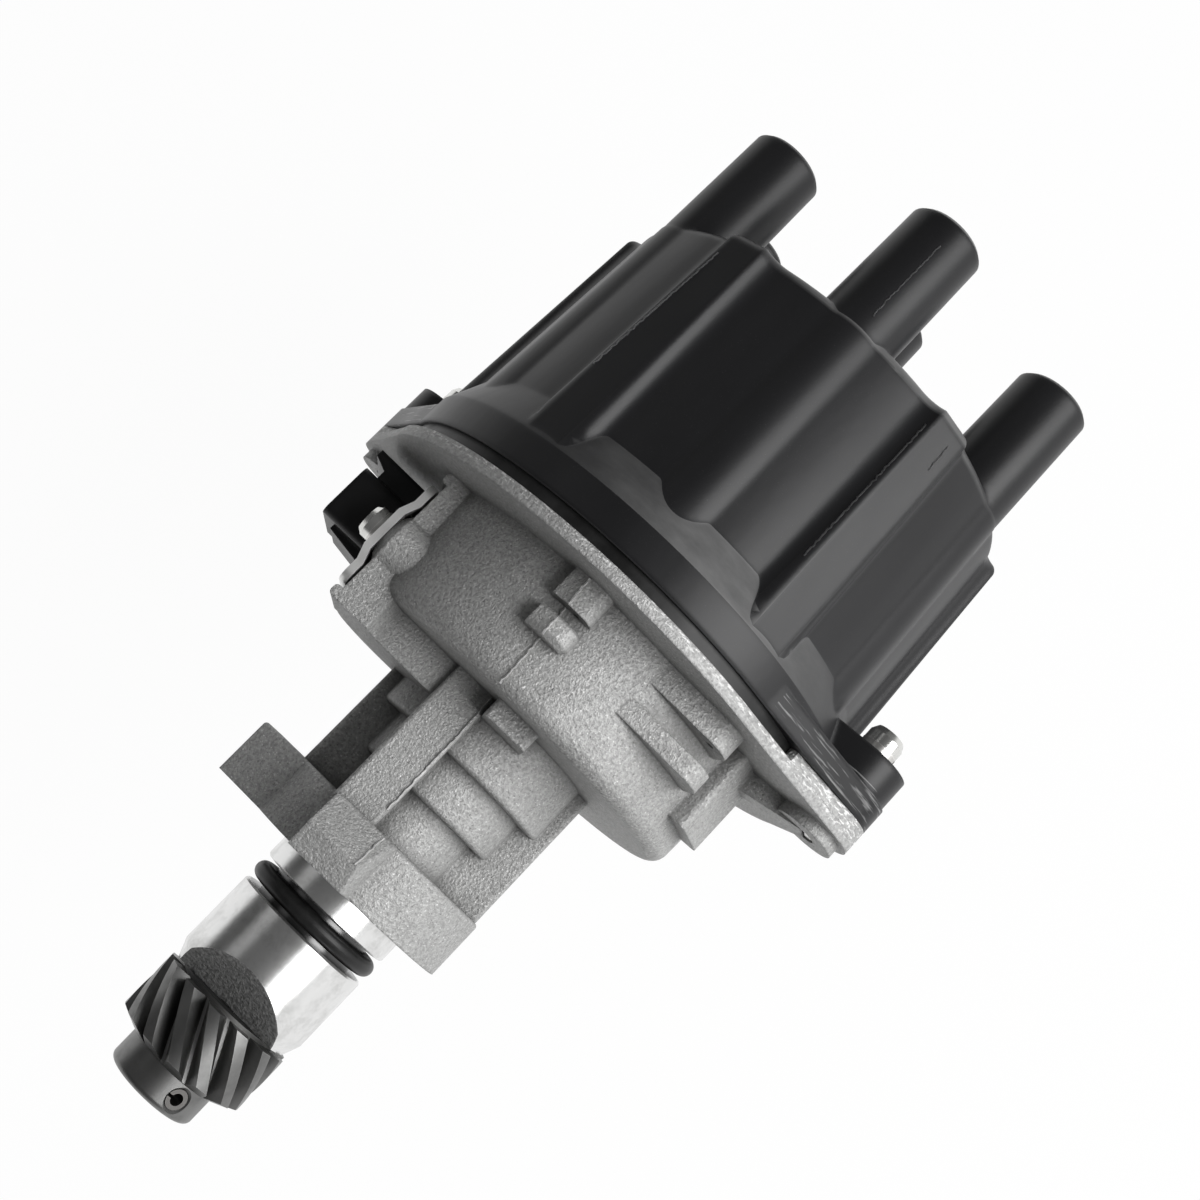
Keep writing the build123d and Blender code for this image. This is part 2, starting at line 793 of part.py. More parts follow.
# Cap: a drafted body whose flutes carry the towers, with a rib between each pair
cone_top = cap_body_radius - 1
with BuildPart() as cap:
    with BuildSketch(Plane.XY.offset(skirt_top)):
        Circle(cap_body_radius)
        with PolarLocations(tower_circle, tower_count, tower_turn):
            Circle(flute_radius)
        with PolarLocations(cap_body_radius + rib_proud, tower_count, tower_turn + 180 / tower_count):
            Rectangle(rib_inset, rib_width, align=(Align.MAX, Align.CENTER))
        for step in (1, -2, 1):
            offset(amount=step * flute_blend, mode=Mode.REPLACE)
    extrude(amount=deck_z - skirt_top, taper=cap_draft)
    fillet(faces().sort_by(Axis.Z)[-1].edges(), cap_top_round)
    with BuildSketch(Plane.XZ):
        with BuildLine():
            FilletPolyline(
                (0, cap_z), (cap_skirt_radius, cap_z), (cap_skirt_radius, skirt_top),
                (cone_top, skirt_top + cap_shoulder_height),
                (cone_top - cap_shoulder_height * tan(radians(cap_draft)), skirt_top + 2 * cap_shoulder_height),
                (0, skirt_top + 2 * cap_shoulder_height),
                radius=[0, 0, 0, cap_shoulder_round, 0, 0], close=True,
            )
        make_face()
    revolve(axis=Axis.Z)
    # Towers, six over the flutes and one over the shaft
    with Locations(*tower_places):
        with Locations((0, 0, deck_z)):
            Cylinder(tower_root_radius, tower_sink, align=hangs)
            Cone(tower_root_radius, tower_tip_radius, tower_height - tower_edge, align=stands)
        with Locations((0, 0, tip_z - tower_edge)):
            Cone(tower_tip_radius, tower_tip_radius - tower_edge, tower_edge, align=stands)
    # Screw lugs
    with BuildSketch(Plane.XY.offset(cap_z)):
        lug_outline(cap_skirt_radius, lug_spread, lug_end_radius)
    extrude(amount=cap_lug_thick)
    with BuildSketch(Plane.XY.offset(cap_z)):
        with PolarLocations(lug_screw_circle, lug_count, lug_angle):
            Circle(lug_end_radius - cap_lug_inset)
            Rectangle(
                cap_lug_length, 2 * (lug_end_radius - cap_lug_inset),
                align=(Align.MAX, Align.CENTER),
            )
    extrude(amount=cap_lug_height)
    # Space inside, sockets and seats of the terminals
    add(cap_space.part, mode=Mode.SUBTRACT)
    with Locations(*tower_places):
        with Locations((0, 0, tip_z)):
            Cylinder(socket_radius, socket_depth, align=hangs, mode=Mode.SUBTRACT)
        with Locations((0, 0, cup_z)):
            Cylinder(cup_radius + seat_gap, cup_height, align=stands, mode=Mode.SUBTRACT)
            Cylinder(stem_radius + seat_gap, cup_z - column_end, align=hangs, mode=Mode.SUBTRACT)
    with BuildSketch(Plane.XY.offset(boss_end)):
        Circle(brush_radius + run_gap)
    extrude(amount=cup_z - boss_end, mode=Mode.SUBTRACT)
    with BuildSketch(Plane.XY.offset(cap_z)):
        with PolarLocations(lug_screw_circle, lug_count, lug_angle):
            Circle(cap_screw_radius + hole_gap)
    extrude(amount=cap_lug_height, mode=Mode.SUBTRACT)
finish(cap, "cap")

# Side terminals: a cup in each socket, a stem through the column and the electrode below
with BuildPart() as side_terminals:
    with PolarLocations(tower_circle, tower_count, tower_turn):
        with Locations((0, 0, cup_z)):
            Cylinder(cup_radius, cup_height, align=stands)
            Cylinder(stem_radius, cup_z - column_end, align=hangs)
        with Locations((0, 0, column_end)):
            Cylinder(electrode_radius, electrode_length, align=hangs)
        with Locations((0, 0, cup_z + cup_height)):
            Cylinder(cup_bore, cup_bore_depth, align=hangs, mode=Mode.SUBTRACT)
finish(side_terminals, "side_terminals")

# Centre terminal, whose stem the brush spring pushes against
with BuildPart() as centre_terminal:
    with Locations((0, 0, cup_z)):
        Cylinder(cup_radius, cup_height, align=stands)
        Cylinder(stem_radius, cup_z - stem_end, align=hangs)
    with Locations((0, 0, cup_z + cup_height)):
        Cylinder(cup_bore, cup_bore_depth, align=hangs, mode=Mode.SUBTRACT)
finish(centre_terminal, "centre_terminal")

# Carbon brush and its spring
with BuildPart() as carbon_brush:
    with Locations((0, 0, brush_z)):
        Cylinder(brush_radius, brush_length, align=stands)
    fillet(edges().filter_by(GeomType.CIRCLE).sort_by(Axis.Z)[0], brush_radius / 4)
finish(carbon_brush, "carbon_brush")

spring_height = stem_end - brush_top - spring_wire - 2 * seat_gap
spring_radius = brush_radius - spring_side_gap - spring_wire / 2
with BuildPart() as brush_spring:
    with BuildLine(Plane.XY.offset(brush_top + seat_gap + spring_wire / 2)) as spring_path:
        Helix(spring_height / spring_turns, spring_height, spring_radius)
    with BuildSketch(Plane(spring_path.line @ 0, z_dir=spring_path.line % 0)):
        RegularPolygon(spring_wire / 2, 6)
    sweep(path=spring_path.line, is_frenet=True)
finish(brush_spring, "brush_spring")

# Cap screws, each with a plain and a spring washer
washer_top = cap_lug_top + washer_thick
cap_head_z = washer_top + spring_washer_thick
with BuildPart() as cap_screws:
    with PolarLocations(lug_screw_circle, lug_count, lug_angle):
        slotted_screw(
            cap_head_z, cap_screw_radius, cap_head_z - rim_z + lug_boss_height - air_gap, cap_head_radius,
            cap_head_height,
        )
finish(cap_screws, "cap_screws")

with BuildPart() as cap_washers:
    with BuildSketch(Plane.XY.offset(cap_lug_top)):
        with PolarLocations(lug_screw_circle, lug_count, lug_angle):
            Circle(washer_radius)
            Circle(cap_screw_radius + hole_gap, mode=Mode.SUBTRACT)
    extrude(amount=washer_thick)
finish(cap_washers, "cap_washers")

with BuildPart() as cap_spring_washers:
    with BuildSketch(Plane.XY.offset(washer_top)):
        with PolarLocations(lug_screw_circle, lug_count, lug_angle):
            Circle(spring_washer_radius)
            Circle(cap_screw_radius + hole_gap, mode=Mode.SUBTRACT)
            Rectangle(
                2 * spring_washer_radius, spring_washer_split, align=(Align.MIN, Align.CENTER),
                mode=Mode.SUBTRACT,
            )
    extrude(amount=spring_washer_thick)
finish(cap_spring_washers, "cap_spring_washers")

# Shaft with its shoulder above the bearing, snap ring groove, rotor flat and pin hole
with BuildPart() as shaft:
    with BuildSketch(Plane.XZ):
        Polygon(
            (0, shaft_end), (shaft_radius - edge_break, shaft_end), (shaft_radius, shaft_end + edge_break),
            (shaft_radius, snap_ring_z), (shaft_radius - snap_ring_depth, snap_ring_z),
            (shaft_radius - snap_ring_depth, bearing_z), (shaft_radius, bearing_z), (shaft_radius, ring_z),
            (shoulder_radius, ring_z), (shoulder_radius, hub_z), (shaft_radius, hub_z),
            (shaft_radius, shaft_top - edge_break), (shaft_radius - edge_break, shaft_top), (0, shaft_top),
            align=None,
        )
    revolve(axis=Axis.Z)
    with BuildSketch(Plane.XY.offset(rotor_z)):
        with PolarLocations(rotor_flat, 1, tower_turn + rotor_turn + 90):
            Rectangle(shaft_radius, 2 * shaft_radius, align=(Align.MIN, Align.CENTER))
    extrude(amount=strip_z - rotor_z, mode=Mode.SUBTRACT)
    with Locations(outward_plane(0, pin_angle, pin_z)):
        Cylinder(pin_radius + seat_gap, 4 * shaft_radius, mode=Mode.SUBTRACT)
finish(shaft, "shaft")

# Drive gear: the tooth outline is twisted along the axis, then turned to its bevel and collar
with BuildSketch() as tooth_outline:
    with BuildLine():
        for index in range(gear_teeth):
            middle = index * 360 / gear_teeth
            root = degrees(tooth_root_width / 2 / gear_root_radius)
            tip = degrees(tooth_tip_width / 2 / gear_radius)
            pitch_radius = (gear_root_radius + gear_radius) / 2
            pitch = (root + tip) / 2 + degrees(tooth_crown / pitch_radius)
            ThreePointArc(
                on_circle(gear_root_radius, middle - root)[:2], on_circle(pitch_radius, middle - pitch)[:2],
                on_circle(gear_radius, middle - tip)[:2],
            )
            ThreePointArc(
                on_circle(gear_radius, middle - tip)[:2], on_circle(gear_radius, middle)[:2],
                on_circle(gear_radius, middle + tip)[:2],
            )
            ThreePointArc(
                on_circle(gear_radius, middle + tip)[:2], on_circle(pitch_radius, middle + pitch)[:2],
                on_circle(gear_root_radius, middle + root)[:2],
            )
            ThreePointArc(
                on_circle(gear_root_radius, middle + root)[:2],
                on_circle(gear_root_radius, middle + 180 / gear_teeth)[:2],
                on_circle(gear_root_radius, middle + 360 / gear_teeth - root)[:2],
            )
    make_face()
gear_twist = -degrees(gear_length * tan(radians(gear_helix)) / ((gear_root_radius + gear_radius) / 2))
toothed_blank = Solid.extrude_linear_with_rotation(
    tooth_outline.sketch.faces()[0], (0, 0, 0), (0, 0, gear_length), gear_twist,
)

with BuildPart() as drive_gear:
    add(toothed_blank.moved(Location((0, 0, gear_z))))
    with BuildSketch(Plane.XZ):
        Polygon(
            (0, gear_z), (gear_bevel_radius, gear_z), (gear_radius + 1, gear_z + gear_bevel_height),
            (gear_radius + 1, gear_top), (0, gear_top), align=None,
        )
    revolve(axis=Axis.Z, mode=Mode.INTERSECT)
    with BuildSketch(Plane.XZ):
        with BuildLine():
            FilletPolyline(
                (0, collar_z), (collar_radius, collar_z), (collar_radius, gear_z + 1), (0, gear_z + 1),
                radius=[0, collar_round, 0, 0], close=True,
            )
        make_face()
    revolve(axis=Axis.Z)
    with Locations((0, 0, collar_z)):
        Cylinder(shaft_radius + seat_gap, gear_top - collar_z, align=stands, mode=Mode.SUBTRACT)
    with Locations(outward_plane(0, pin_angle, pin_z)):
        Cylinder(pin_radius + seat_gap, 4 * collar_radius, mode=Mode.SUBTRACT)
    with Locations(
        outward_plane(collar_radius, pin_angle, pin_z), outward_plane(collar_radius, pin_angle + 180, pin_z),
    ):
        Cone(pin_radius, pin_radius + 2 * pin_chamfer, 2 * pin_chamfer, mode=Mode.SUBTRACT)
finish(drive_gear, "drive_gear")

# Spring pin through the collar and the shaft
with BuildPart() as gear_pin:
    with BuildSketch(outward_plane(-collar_radius + pin_sink, pin_angle, pin_z)):
        Circle(pin_radius)
        Circle(pin_bore, mode=Mode.SUBTRACT)
        Rectangle(2 * pin_radius, pin_split, align=(Align.MIN, Align.CENTER), mode=Mode.SUBTRACT)
    extrude(amount=2 * (collar_radius - pin_sink))
finish(gear_pin, "gear_pin")

# Thrust washer between the journal and the gear
with BuildPart() as thrust_washer:
    with BuildSketch(Plane.XY.offset(gear_top)):
        Circle(thrust_washer_radius)
        Circle(shaft_radius + run_gap, mode=Mode.SUBTRACT)
    extrude(amount=thrust_washer_thick + thrust_gap)
finish(thrust_washer, "thrust_washer")

# Lower bush
with BuildPart() as lower_bush:
    with BuildSketch(Plane.XY.offset(bush_z)):
        Circle(bush_radius)
        Circle(shaft_radius + run_gap, mode=Mode.SUBTRACT)
    extrude(amount=bush_length)
finish(lower_bush, "lower_bush")

# Shaft seal with its lip
with BuildPart() as shaft_seal:
    with BuildSketch(Plane.XZ):
        Polygon(
            (shaft_seal_radius, shaft_seal_z), (shaft_seal_radius, shaft_seal_z + shaft_seal_height),
            (shaft_seal_radius - 1.4, shaft_seal_z + shaft_seal_height),
            (shaft_seal_radius - 1.4, shaft_seal_z + 1.6), (shaft_radius + 1.4, shaft_seal_z + 1.6),
            (shaft_radius + 1.0, shaft_seal_z + 4.4), (shaft_radius + run_gap, shaft_seal_z + 3.4),
            (shaft_radius + 0.6, shaft_seal_z), align=None,
        )
    revolve(axis=Axis.Z)
finish(shaft_seal, "shaft_seal")

# Snap ring under the inner race
with BuildPart() as snap_ring:
    with BuildSketch(Plane.XY.offset(snap_ring_z)):
        Circle(shaft_radius + snap_ring_reach)
        Circle(shaft_radius - snap_ring_depth + seat_gap, mode=Mode.SUBTRACT)
        Rectangle(2 * shaft_radius, shaft_radius / 2, align=(Align.MIN, Align.CENTER), mode=Mode.SUBTRACT)
    extrude(amount=snap_ring_thick)
finish(snap_ring, "snap_ring")

# Ball bearing: two grooved races, the balls and their cage
ball_z = bearing_z + bearing_width / 2
with BuildPart() as bearing_outer_race:
    with BuildSketch(Plane.XZ):
        with Locations((outer_race_inner, ball_z)):
            Rectangle(race_wall, bearing_width, align=(Align.MIN, Align.CENTER))
        with Locations((ball_circle, ball_z)):
            Circle(ball_radius + ball_gap, mode=Mode.SUBTRACT)
    revolve(axis=Axis.Z)
finish(bearing_outer_race, "bearing_outer_race")

with BuildPart() as bearing_inner_race:
    with BuildSketch(Plane.XZ):
        with Locations((shaft_radius + seat_gap, ball_z)):
            Rectangle(race_wall - seat_gap, bearing_width, align=(Align.MIN, Align.CENTER))
        with Locations((ball_circle, ball_z)):
            Circle(ball_radius + ball_gap, mode=Mode.SUBTRACT)
    revolve(axis=Axis.Z)
finish(bearing_inner_race, "bearing_inner_race")

with BuildPart() as bearing_balls:
    with PolarLocations(ball_circle, ball_count):
        with Locations((0, 0, ball_z)):
            Sphere(ball_radius)
finish(bearing_balls, "bearing_balls")

with BuildPart() as bearing_cage:
    with BuildSketch(Plane.XY.offset(ball_z - cage_width / 2)):
        Circle(ball_circle + cage_wall / 2)
        Circle(ball_circle - cage_wall / 2, mode=Mode.SUBTRACT)
    extrude(amount=cage_width)
    with PolarLocations(ball_circle, ball_count):
        with Locations((0, 0, ball_z)):
            Cylinder(ball_radius + ball_gap, 4 * cage_wall, rotation=(0, 90, 0), mode=Mode.SUBTRACT)
finish(bearing_cage, "bearing_cage")

# Retainer plate over the bearing and its screws
with BuildPart() as bearing_retainer:
    with BuildSketch(Plane.XY.offset(ring_z)):
        Circle(ring_radius - 1)
        Circle(retainer_inner, mode=Mode.SUBTRACT)
        with PolarLocations(retainer_screw_circle, retainer_screw_count):
            Circle(screw_radius + hole_gap, mode=Mode.SUBTRACT)
    extrude(amount=retainer_thick)
finish(bearing_retainer, "bearing_retainer")

with BuildPart() as retainer_screws:
    with PolarLocations(retainer_screw_circle, retainer_screw_count):
        slotted_screw(
            ring_z + retainer_thick, screw_radius, screw_grip + retainer_thick, head_radius, head_height,
        )
finish(retainer_screws, "retainer_screws")

# Hub of the trigger disc
with BuildPart() as disc_hub:
    with BuildSketch(Plane.XY.offset(hub_z)):
        Circle(hub_radius)
        Circle(shaft_radius + seat_gap, mode=Mode.SUBTRACT)
        with PolarLocations(disc_screw_circle, disc_screw_count):
            Circle(disc_screw_radius + seat_gap, mode=Mode.SUBTRACT)
    extrude(amount=hub_height)
finish(disc_hub, "disc_hub")

# Trigger disc with its ring of slits and inner windows
with BuildPart() as trigger_disc:
    with BuildSketch(Plane.XY.offset(disc_z)):
        Circle(disc_radius)
        Circle(shaft_radius + seat_gap, mode=Mode.SUBTRACT)
        with PolarLocations(disc_radius - slit_edge, slit_count):
            Rectangle(slit_length, slit_width, align=(Align.MAX, Align.CENTER), mode=Mode.SUBTRACT)
        with PolarLocations(window_circle, window_count):
            Rectangle(window_length, window_width, mode=Mode.SUBTRACT)
        with PolarLocations(disc_screw_circle, disc_screw_count):
            Circle(disc_screw_radius + hole_gap, mode=Mode.SUBTRACT)
    extrude(amount=disc_thick)
finish(trigger_disc, "trigger_disc")

with BuildPart() as disc_clamp:
    with BuildSketch(Plane.XY.offset(clamp_z)):
        Circle(hub_radius)
        Circle(shaft_radius + seat_gap, mode=Mode.SUBTRACT)
        with PolarLocations(disc_screw_circle, disc_screw_count):
            Circle(disc_screw_radius + hole_gap, mode=Mode.SUBTRACT)
    extrude(amount=clamp_thick)
finish(disc_clamp, "disc_clamp")

with BuildPart() as disc_screws:
    with PolarLocations(disc_screw_circle, disc_screw_count):
        slotted_screw(
            clamp_z + clamp_thick, disc_screw_radius, clamp_thick + disc_thick + hub_height - air_gap,
            disc_head_radius, disc_head_height,
        )
finish(disc_screws, "disc_screws")

# Sensor unit: a moulded block with a throat for the disc and two ears
throat_z = disc_z + disc_thick / 2 - sensor_throat / 2
throat_back = disc_radius + sensor_rim_gap
with BuildPart() as sensor_unit:
    with BuildSketch(Plane.XZ):
        Polygon(
            (-sensor_back, floor_z), (-sensor_foot_nose, floor_z), (-sensor_foot_nose, throat_z - sensor_arm),
            (-sensor_nose, throat_z - sensor_arm), (-sensor_nose, throat_z), (-throat_back, throat_z),
            (-throat_back, throat_z + sensor_throat), (-sensor_nose, throat_z + sensor_throat),
            (-sensor_nose, floor_z + sensor_height), (-sensor_back, floor_z + sensor_height), align=None,
        )
    extrude(amount=sensor_half_width, both=True)
    with BuildSketch(Plane.XY.offset(floor_z)):
        with Locations((-ear_x, 0)):
            Rectangle(2 * ear_radius, 2 * ear_y)
        with Locations((-ear_x, -ear_y), (-ear_x, ear_y)):
            Circle(ear_radius)
    extrude(amount=ear_height)
    with BuildSketch(Plane.XY.offset(floor_z)):
        with Locations((-ear_x, -ear_y), (-ear_x, ear_y)):
            Circle(screw_radius + hole_gap)
    extrude(amount=ear_height, mode=Mode.SUBTRACT)
finish(sensor_unit, "sensor_unit")

with BuildPart() as sensor_screws:
    with Locations((-ear_x, -ear_y), (-ear_x, ear_y)):
        slotted_screw(floor_z + ear_height, screw_radius, ear_height + screw_grip, head_radius, head_height)
finish(sensor_screws, "sensor_screws")

# Dust cover, which keeps carbon dust and sparks away from the disc
with BuildPart() as dust_cover:
    with BuildSketch(Plane.XZ):
        Polygon(
            (shaft_radius + air_gap, rim_top), (cover_radius, rim_top), (cover_radius, cover_z),
            (cover_hub_radius, cover_z), (cover_hub_radius - 1, cover_z + cover_hub_height),
            (shaft_radius + air_gap, cover_z + cover_hub_height), align=None,
        )
    revolve(axis=Axis.Z)
    with BuildSketch(Plane.XY.offset(rim_top)):
        with PolarLocations(cover_screw_circle, cover_screw_count):
            Circle(screw_radius + hole_gap)
    extrude(amount=cover_thick, mode=Mode.SUBTRACT)
finish(dust_cover, "dust_cover")

with BuildPart() as cover_screws:
    with PolarLocations(cover_screw_circle, cover_screw_count):
        slotted_screw(cover_z, screw_radius, cover_thick + screw_grip, head_radius, head_height)
finish(cover_screws, "cover_screws")

# Rotor arm with its hub, and the brass strip that carries the spark
rotor_angle = tower_turn + rotor_turn
with BuildPart() as rotor_arm:
    with Locations((0, 0, rotor_z)):
        Cylinder(rotor_disc_radius, rotor_disc_thick, align=stands)
        Cone(rotor_hub_radius, rotor_hub_radius - 1, arm_z - rotor_z, align=stands)
    with BuildSketch(Plane.XY.offset(arm_z)):
        with PolarLocations(0, 1, rotor_angle):
            Polygon(
                (-rotor_tail, -rotor_arm_root), (0, -rotor_hub_radius + 2),
                (rotor_reach - rotor_arm_inset, -rotor_arm_tip), (rotor_reach - rotor_arm_inset, rotor_arm_tip),
                (0, rotor_hub_radius - 2), (-rotor_tail, rotor_arm_root), align=None,
            )
        fillet(vertices(), 2)
    extrude(amount=rotor_arm_thick)
    with BuildSketch(Plane.XY.offset(rotor_z)):
        Circle(shaft_radius + seat_gap)
        with PolarLocations(rotor_flat + seat_gap, 1, rotor_angle + 90):
            Rectangle(
                shaft_radius, 2 * shaft_radius + 1, align=(Align.MIN, Align.CENTER), mode=Mode.SUBTRACT,
            )
    extrude(amount=shaft_top + air_gap - rotor_z, mode=Mode.SUBTRACT)
    with Locations(outward_plane(rotor_flat, rotor_angle + 90, rotor_z + rotor_screw_rise)):
        Cylinder(rotor_screw_radius + seat_gap, rotor_hub_radius, align=stands, mode=Mode.SUBTRACT)
    with Locations(outward_plane(rotor_hub_radius - 1, rotor_angle + 90, rotor_z + rotor_screw_rise)):
        Cylinder(rotor_head_radius + air_gap, rotor_hub_radius, align=stands, mode=Mode.SUBTRACT)
finish(rotor_arm, "rotor_arm")

with BuildPart() as rotor_electrode:
    with BuildSketch(Plane.XY.offset(strip_z)):
        with PolarLocations(0, 1, rotor_angle):
            with Locations((-strip_tail, 0)):
                Rectangle(strip_tail + rotor_reach - 1, strip_width, align=(Align.MIN, Align.CENTER))
            with Locations((rotor_reach - 1, 0)):
                Rectangle(1, strip_width, align=(Align.MIN, Align.CENTER))
        Circle(strip_width * 0.8)
    extrude(amount=strip_thick)
finish(rotor_electrode, "rotor_electrode")

with BuildPart() as rotor_screw:
    with Locations(outward_plane(rotor_flat + seat_gap, rotor_angle + 90, rotor_z + rotor_screw_rise)):
        Cylinder(rotor_screw_radius, rotor_hub_radius - 1 - rotor_flat, align=stands)
    with Locations(outward_plane(rotor_hub_radius - 1 + seat_gap, rotor_angle + 90, rotor_z + rotor_screw_rise)):
        Cylinder(rotor_head_radius, rotor_head_height, align=stands)
    with Locations(
        outward_plane(rotor_hub_radius - 1 + rotor_head_height, rotor_angle + 90, rotor_z + rotor_screw_rise)
    ):
        Box(2 * rotor_head_radius, driver_width, driver_depth, mode=Mode.SUBTRACT)
finish(rotor_screw, "rotor_screw")

# Connector body: socket outside, plug through the wall, keel below and hood above
with BuildPart() as connector_body:
    with BuildSketch(Plane.YZ.offset(-plate_face)):
        with Locations((0, connector_z)):
            RectangleRounded(connector_width, connector_height, connector_round)
    extrude(amount=plate_face - connector_reach)
    with BuildSketch(Plane.YZ.offset(-plate_face)):
        with Locations((0, connector_z)):
            Rectangle(plug_width, plug_height)
    extrude(amount=plate_face - sensor_back - air_gap)
    body_bottom = connector_z - connector_height / 2
    with BuildSketch(Plane.XZ.offset(-keel_width / 2)):
        Polygon(
            (-body_start, connector_z), (-keel_reach, connector_z), (-keel_reach, body_bottom - keel_step),
            (-body_start, body_bottom - keel_depth), align=None,
        )
    extrude(amount=keel_width)
    hood_z = connector_z + connector_height / 2 + hood_gap
    with BuildSketch(Plane.XZ.offset(-hood_width / 2)):
        Polygon(
            (-body_start, connector_z), (-body_start, hood_z + hood_thick),
            (-hood_reach, hood_z + hood_thick), (-hood_reach, hood_z + hood_thick - hood_lip),
            (-hood_neck_reach, hood_z), (-hood_neck_reach, connector_z), align=None,
        )
    extrude(amount=hood_width)
    with BuildSketch(Plane.YZ.offset(-connector_reach)):
        with Locations((0, connector_z)):
            RectangleRounded(
                connector_width - 2 * connector_wall, connector_height - 2 * connector_wall, connector_round / 2,
            )
    extrude(amount=connector_depth, mode=Mode.SUBTRACT)
    with Locations((-connector_reach, 0, connector_z)):
        with GridLocations(0, blade_pitch, 1, blade_count):
            Box(
                2 * connector_reach, blade_width + 2 * seat_gap, blade_thick + 2 * seat_gap,
                mode=Mode.SUBTRACT,
            )
finish(connector_body, "connector_body")

with BuildPart() as connector_pins:
    with Locations((-blade_reach, 0, connector_z)):
        with GridLocations(0, blade_pitch, 1, blade_count):
            Box(
                blade_reach - sensor_back - air_gap, blade_width, blade_thick,
                align=(Align.MIN, Align.CENTER, Align.CENTER),
            )
finish(connector_pins, "connector_pins")

# Gasket behind the bracket plate
with BuildPart() as connector_gasket:
    with BuildSketch(Plane.YZ.offset(-side_face)):
        with Locations((0, bracket_z)):
            RectangleRounded(
                2 * (bracket_hole_y - bracket_boss_radius - air_gap), bracket_height - 1, bracket_round,
            )
        with Locations((0, connector_z)):
            Rectangle(plug_width + 2 * hole_gap, plug_height + 2 * hole_gap, mode=Mode.SUBTRACT)
    extrude(amount=-gasket_thick)
finish(connector_gasket, "connector_gasket")

# Bracket plate, pressed outwards across its middle
with BuildPart() as connector_bracket:
    with BuildSketch(Plane.XZ.offset(-bracket_half_width)):
        bulge = bracket_bulge_height / 2
        half = bracket_height / 2
        inner = (
            (-plate_face, -half), (-plate_face, -bulge - bracket_slope), (-plate_face - bracket_bulge, -bulge),
            (-plate_face - bracket_bulge, bulge), (-plate_face, bulge + bracket_slope), (-plate_face, half),
        )
        outer = [(x - bracket_thick, z) for x, z in reversed(inner)]
        Polygon(*[(x, z + bracket_z) for x, z in (*inner, *outer)], align=None)
    extrude(amount=2 * bracket_half_width)
    with BuildSketch(Plane.YZ.offset(-plate_face)):
        with Locations((0, bracket_z)):
            RectangleRounded(2 * bracket_half_width, bracket_height, bracket_round)
        with Locations((0, connector_z)):
            RectangleRounded(
                connector_width + 2 * hole_gap, connector_height + 2 * hole_gap, connector_round,
                mode=Mode.SUBTRACT,
            )
        with Locations((-bracket_hole_y, bracket_z), (bracket_hole_y, bracket_z)):
            Circle(bracket_screw_radius + hole_gap, mode=Mode.SUBTRACT)
    extrude(amount=-3 * bracket_thick, mode=Mode.INTERSECT)
finish(connector_bracket, "connector_bracket")

# Bracket screws and their spring washers
with BuildPart() as bracket_washers:
    with BuildSketch(Plane.YZ.offset(-plate_seat)):
        with Locations((-bracket_hole_y, bracket_z), (bracket_hole_y, bracket_z)):
            Circle(bracket_head_radius)
            Circle(bracket_screw_radius + hole_gap, mode=Mode.SUBTRACT)
            Rectangle(
                2 * bracket_head_radius, spring_washer_split, align=(Align.MIN, Align.CENTER),
                mode=Mode.SUBTRACT,
            )
    extrude(amount=-washer_thick)
finish(bracket_washers, "bracket_washers")

head_seat = plate_seat + washer_thick
with BuildPart() as bracket_screws:
    with Locations(
        Plane(origin=(0, -bracket_hole_y, bracket_z), z_dir=(-1, 0, 0)),
        Plane(origin=(0, bracket_hole_y, bracket_z), z_dir=(-1, 0, 0)),
    ):
        slotted_screw(
            head_seat, bracket_screw_radius, head_seat - side_face + bracket_screw_grip, bracket_head_radius,
            bracket_head_height,
        )
finish(bracket_screws, "bracket_screws")
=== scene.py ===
"""Looks, light and camera of the ignition distributor.

The row frame is kept: metres, +Z along the shaft towards the towers, and -Y towards the camera.
"""
import json
from math import ceil, cos, radians, sin

import bmesh
import bpy
from mathutils import Matrix, Vector, noise
from mathutils.bvhtree import BVHTree


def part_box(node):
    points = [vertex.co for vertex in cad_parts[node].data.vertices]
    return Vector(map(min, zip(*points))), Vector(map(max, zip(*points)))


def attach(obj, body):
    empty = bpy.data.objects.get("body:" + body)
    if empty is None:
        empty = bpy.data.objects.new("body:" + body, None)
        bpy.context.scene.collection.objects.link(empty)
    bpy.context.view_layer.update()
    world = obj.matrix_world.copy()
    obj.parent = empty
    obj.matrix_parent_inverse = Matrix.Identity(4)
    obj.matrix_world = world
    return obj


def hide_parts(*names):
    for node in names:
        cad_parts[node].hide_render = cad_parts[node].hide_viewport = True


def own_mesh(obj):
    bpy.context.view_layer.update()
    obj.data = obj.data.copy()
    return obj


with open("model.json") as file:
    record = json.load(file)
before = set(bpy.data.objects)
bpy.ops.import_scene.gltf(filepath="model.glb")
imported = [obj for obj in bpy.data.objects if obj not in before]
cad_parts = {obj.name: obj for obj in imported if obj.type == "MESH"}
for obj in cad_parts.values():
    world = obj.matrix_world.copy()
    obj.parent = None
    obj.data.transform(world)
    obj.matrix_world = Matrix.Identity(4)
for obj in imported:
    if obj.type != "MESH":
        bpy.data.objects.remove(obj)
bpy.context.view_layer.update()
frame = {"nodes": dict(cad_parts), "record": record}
nodes = frame["nodes"]


# Places on the casting and the cap that their materials follow, as radii and heights

seal_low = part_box("cap_seal")[0][2]
ring_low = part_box("journal_o_ring")[0][2]
rim_z = seal_low - 0.0026
rim_start = 0.0535
journal_radius = 0.015
journal_margin = 0.0004
journal_top = 0.00005
groove_low = ring_low - 0.002
groove_depth = 0.0008
relief_start = 0.0214
relief_margin = 0.0001
relief_angle = radians(-97.0)
lug_start = 0.0539
lug_top = seal_low + 0.0092


# Material building blocks

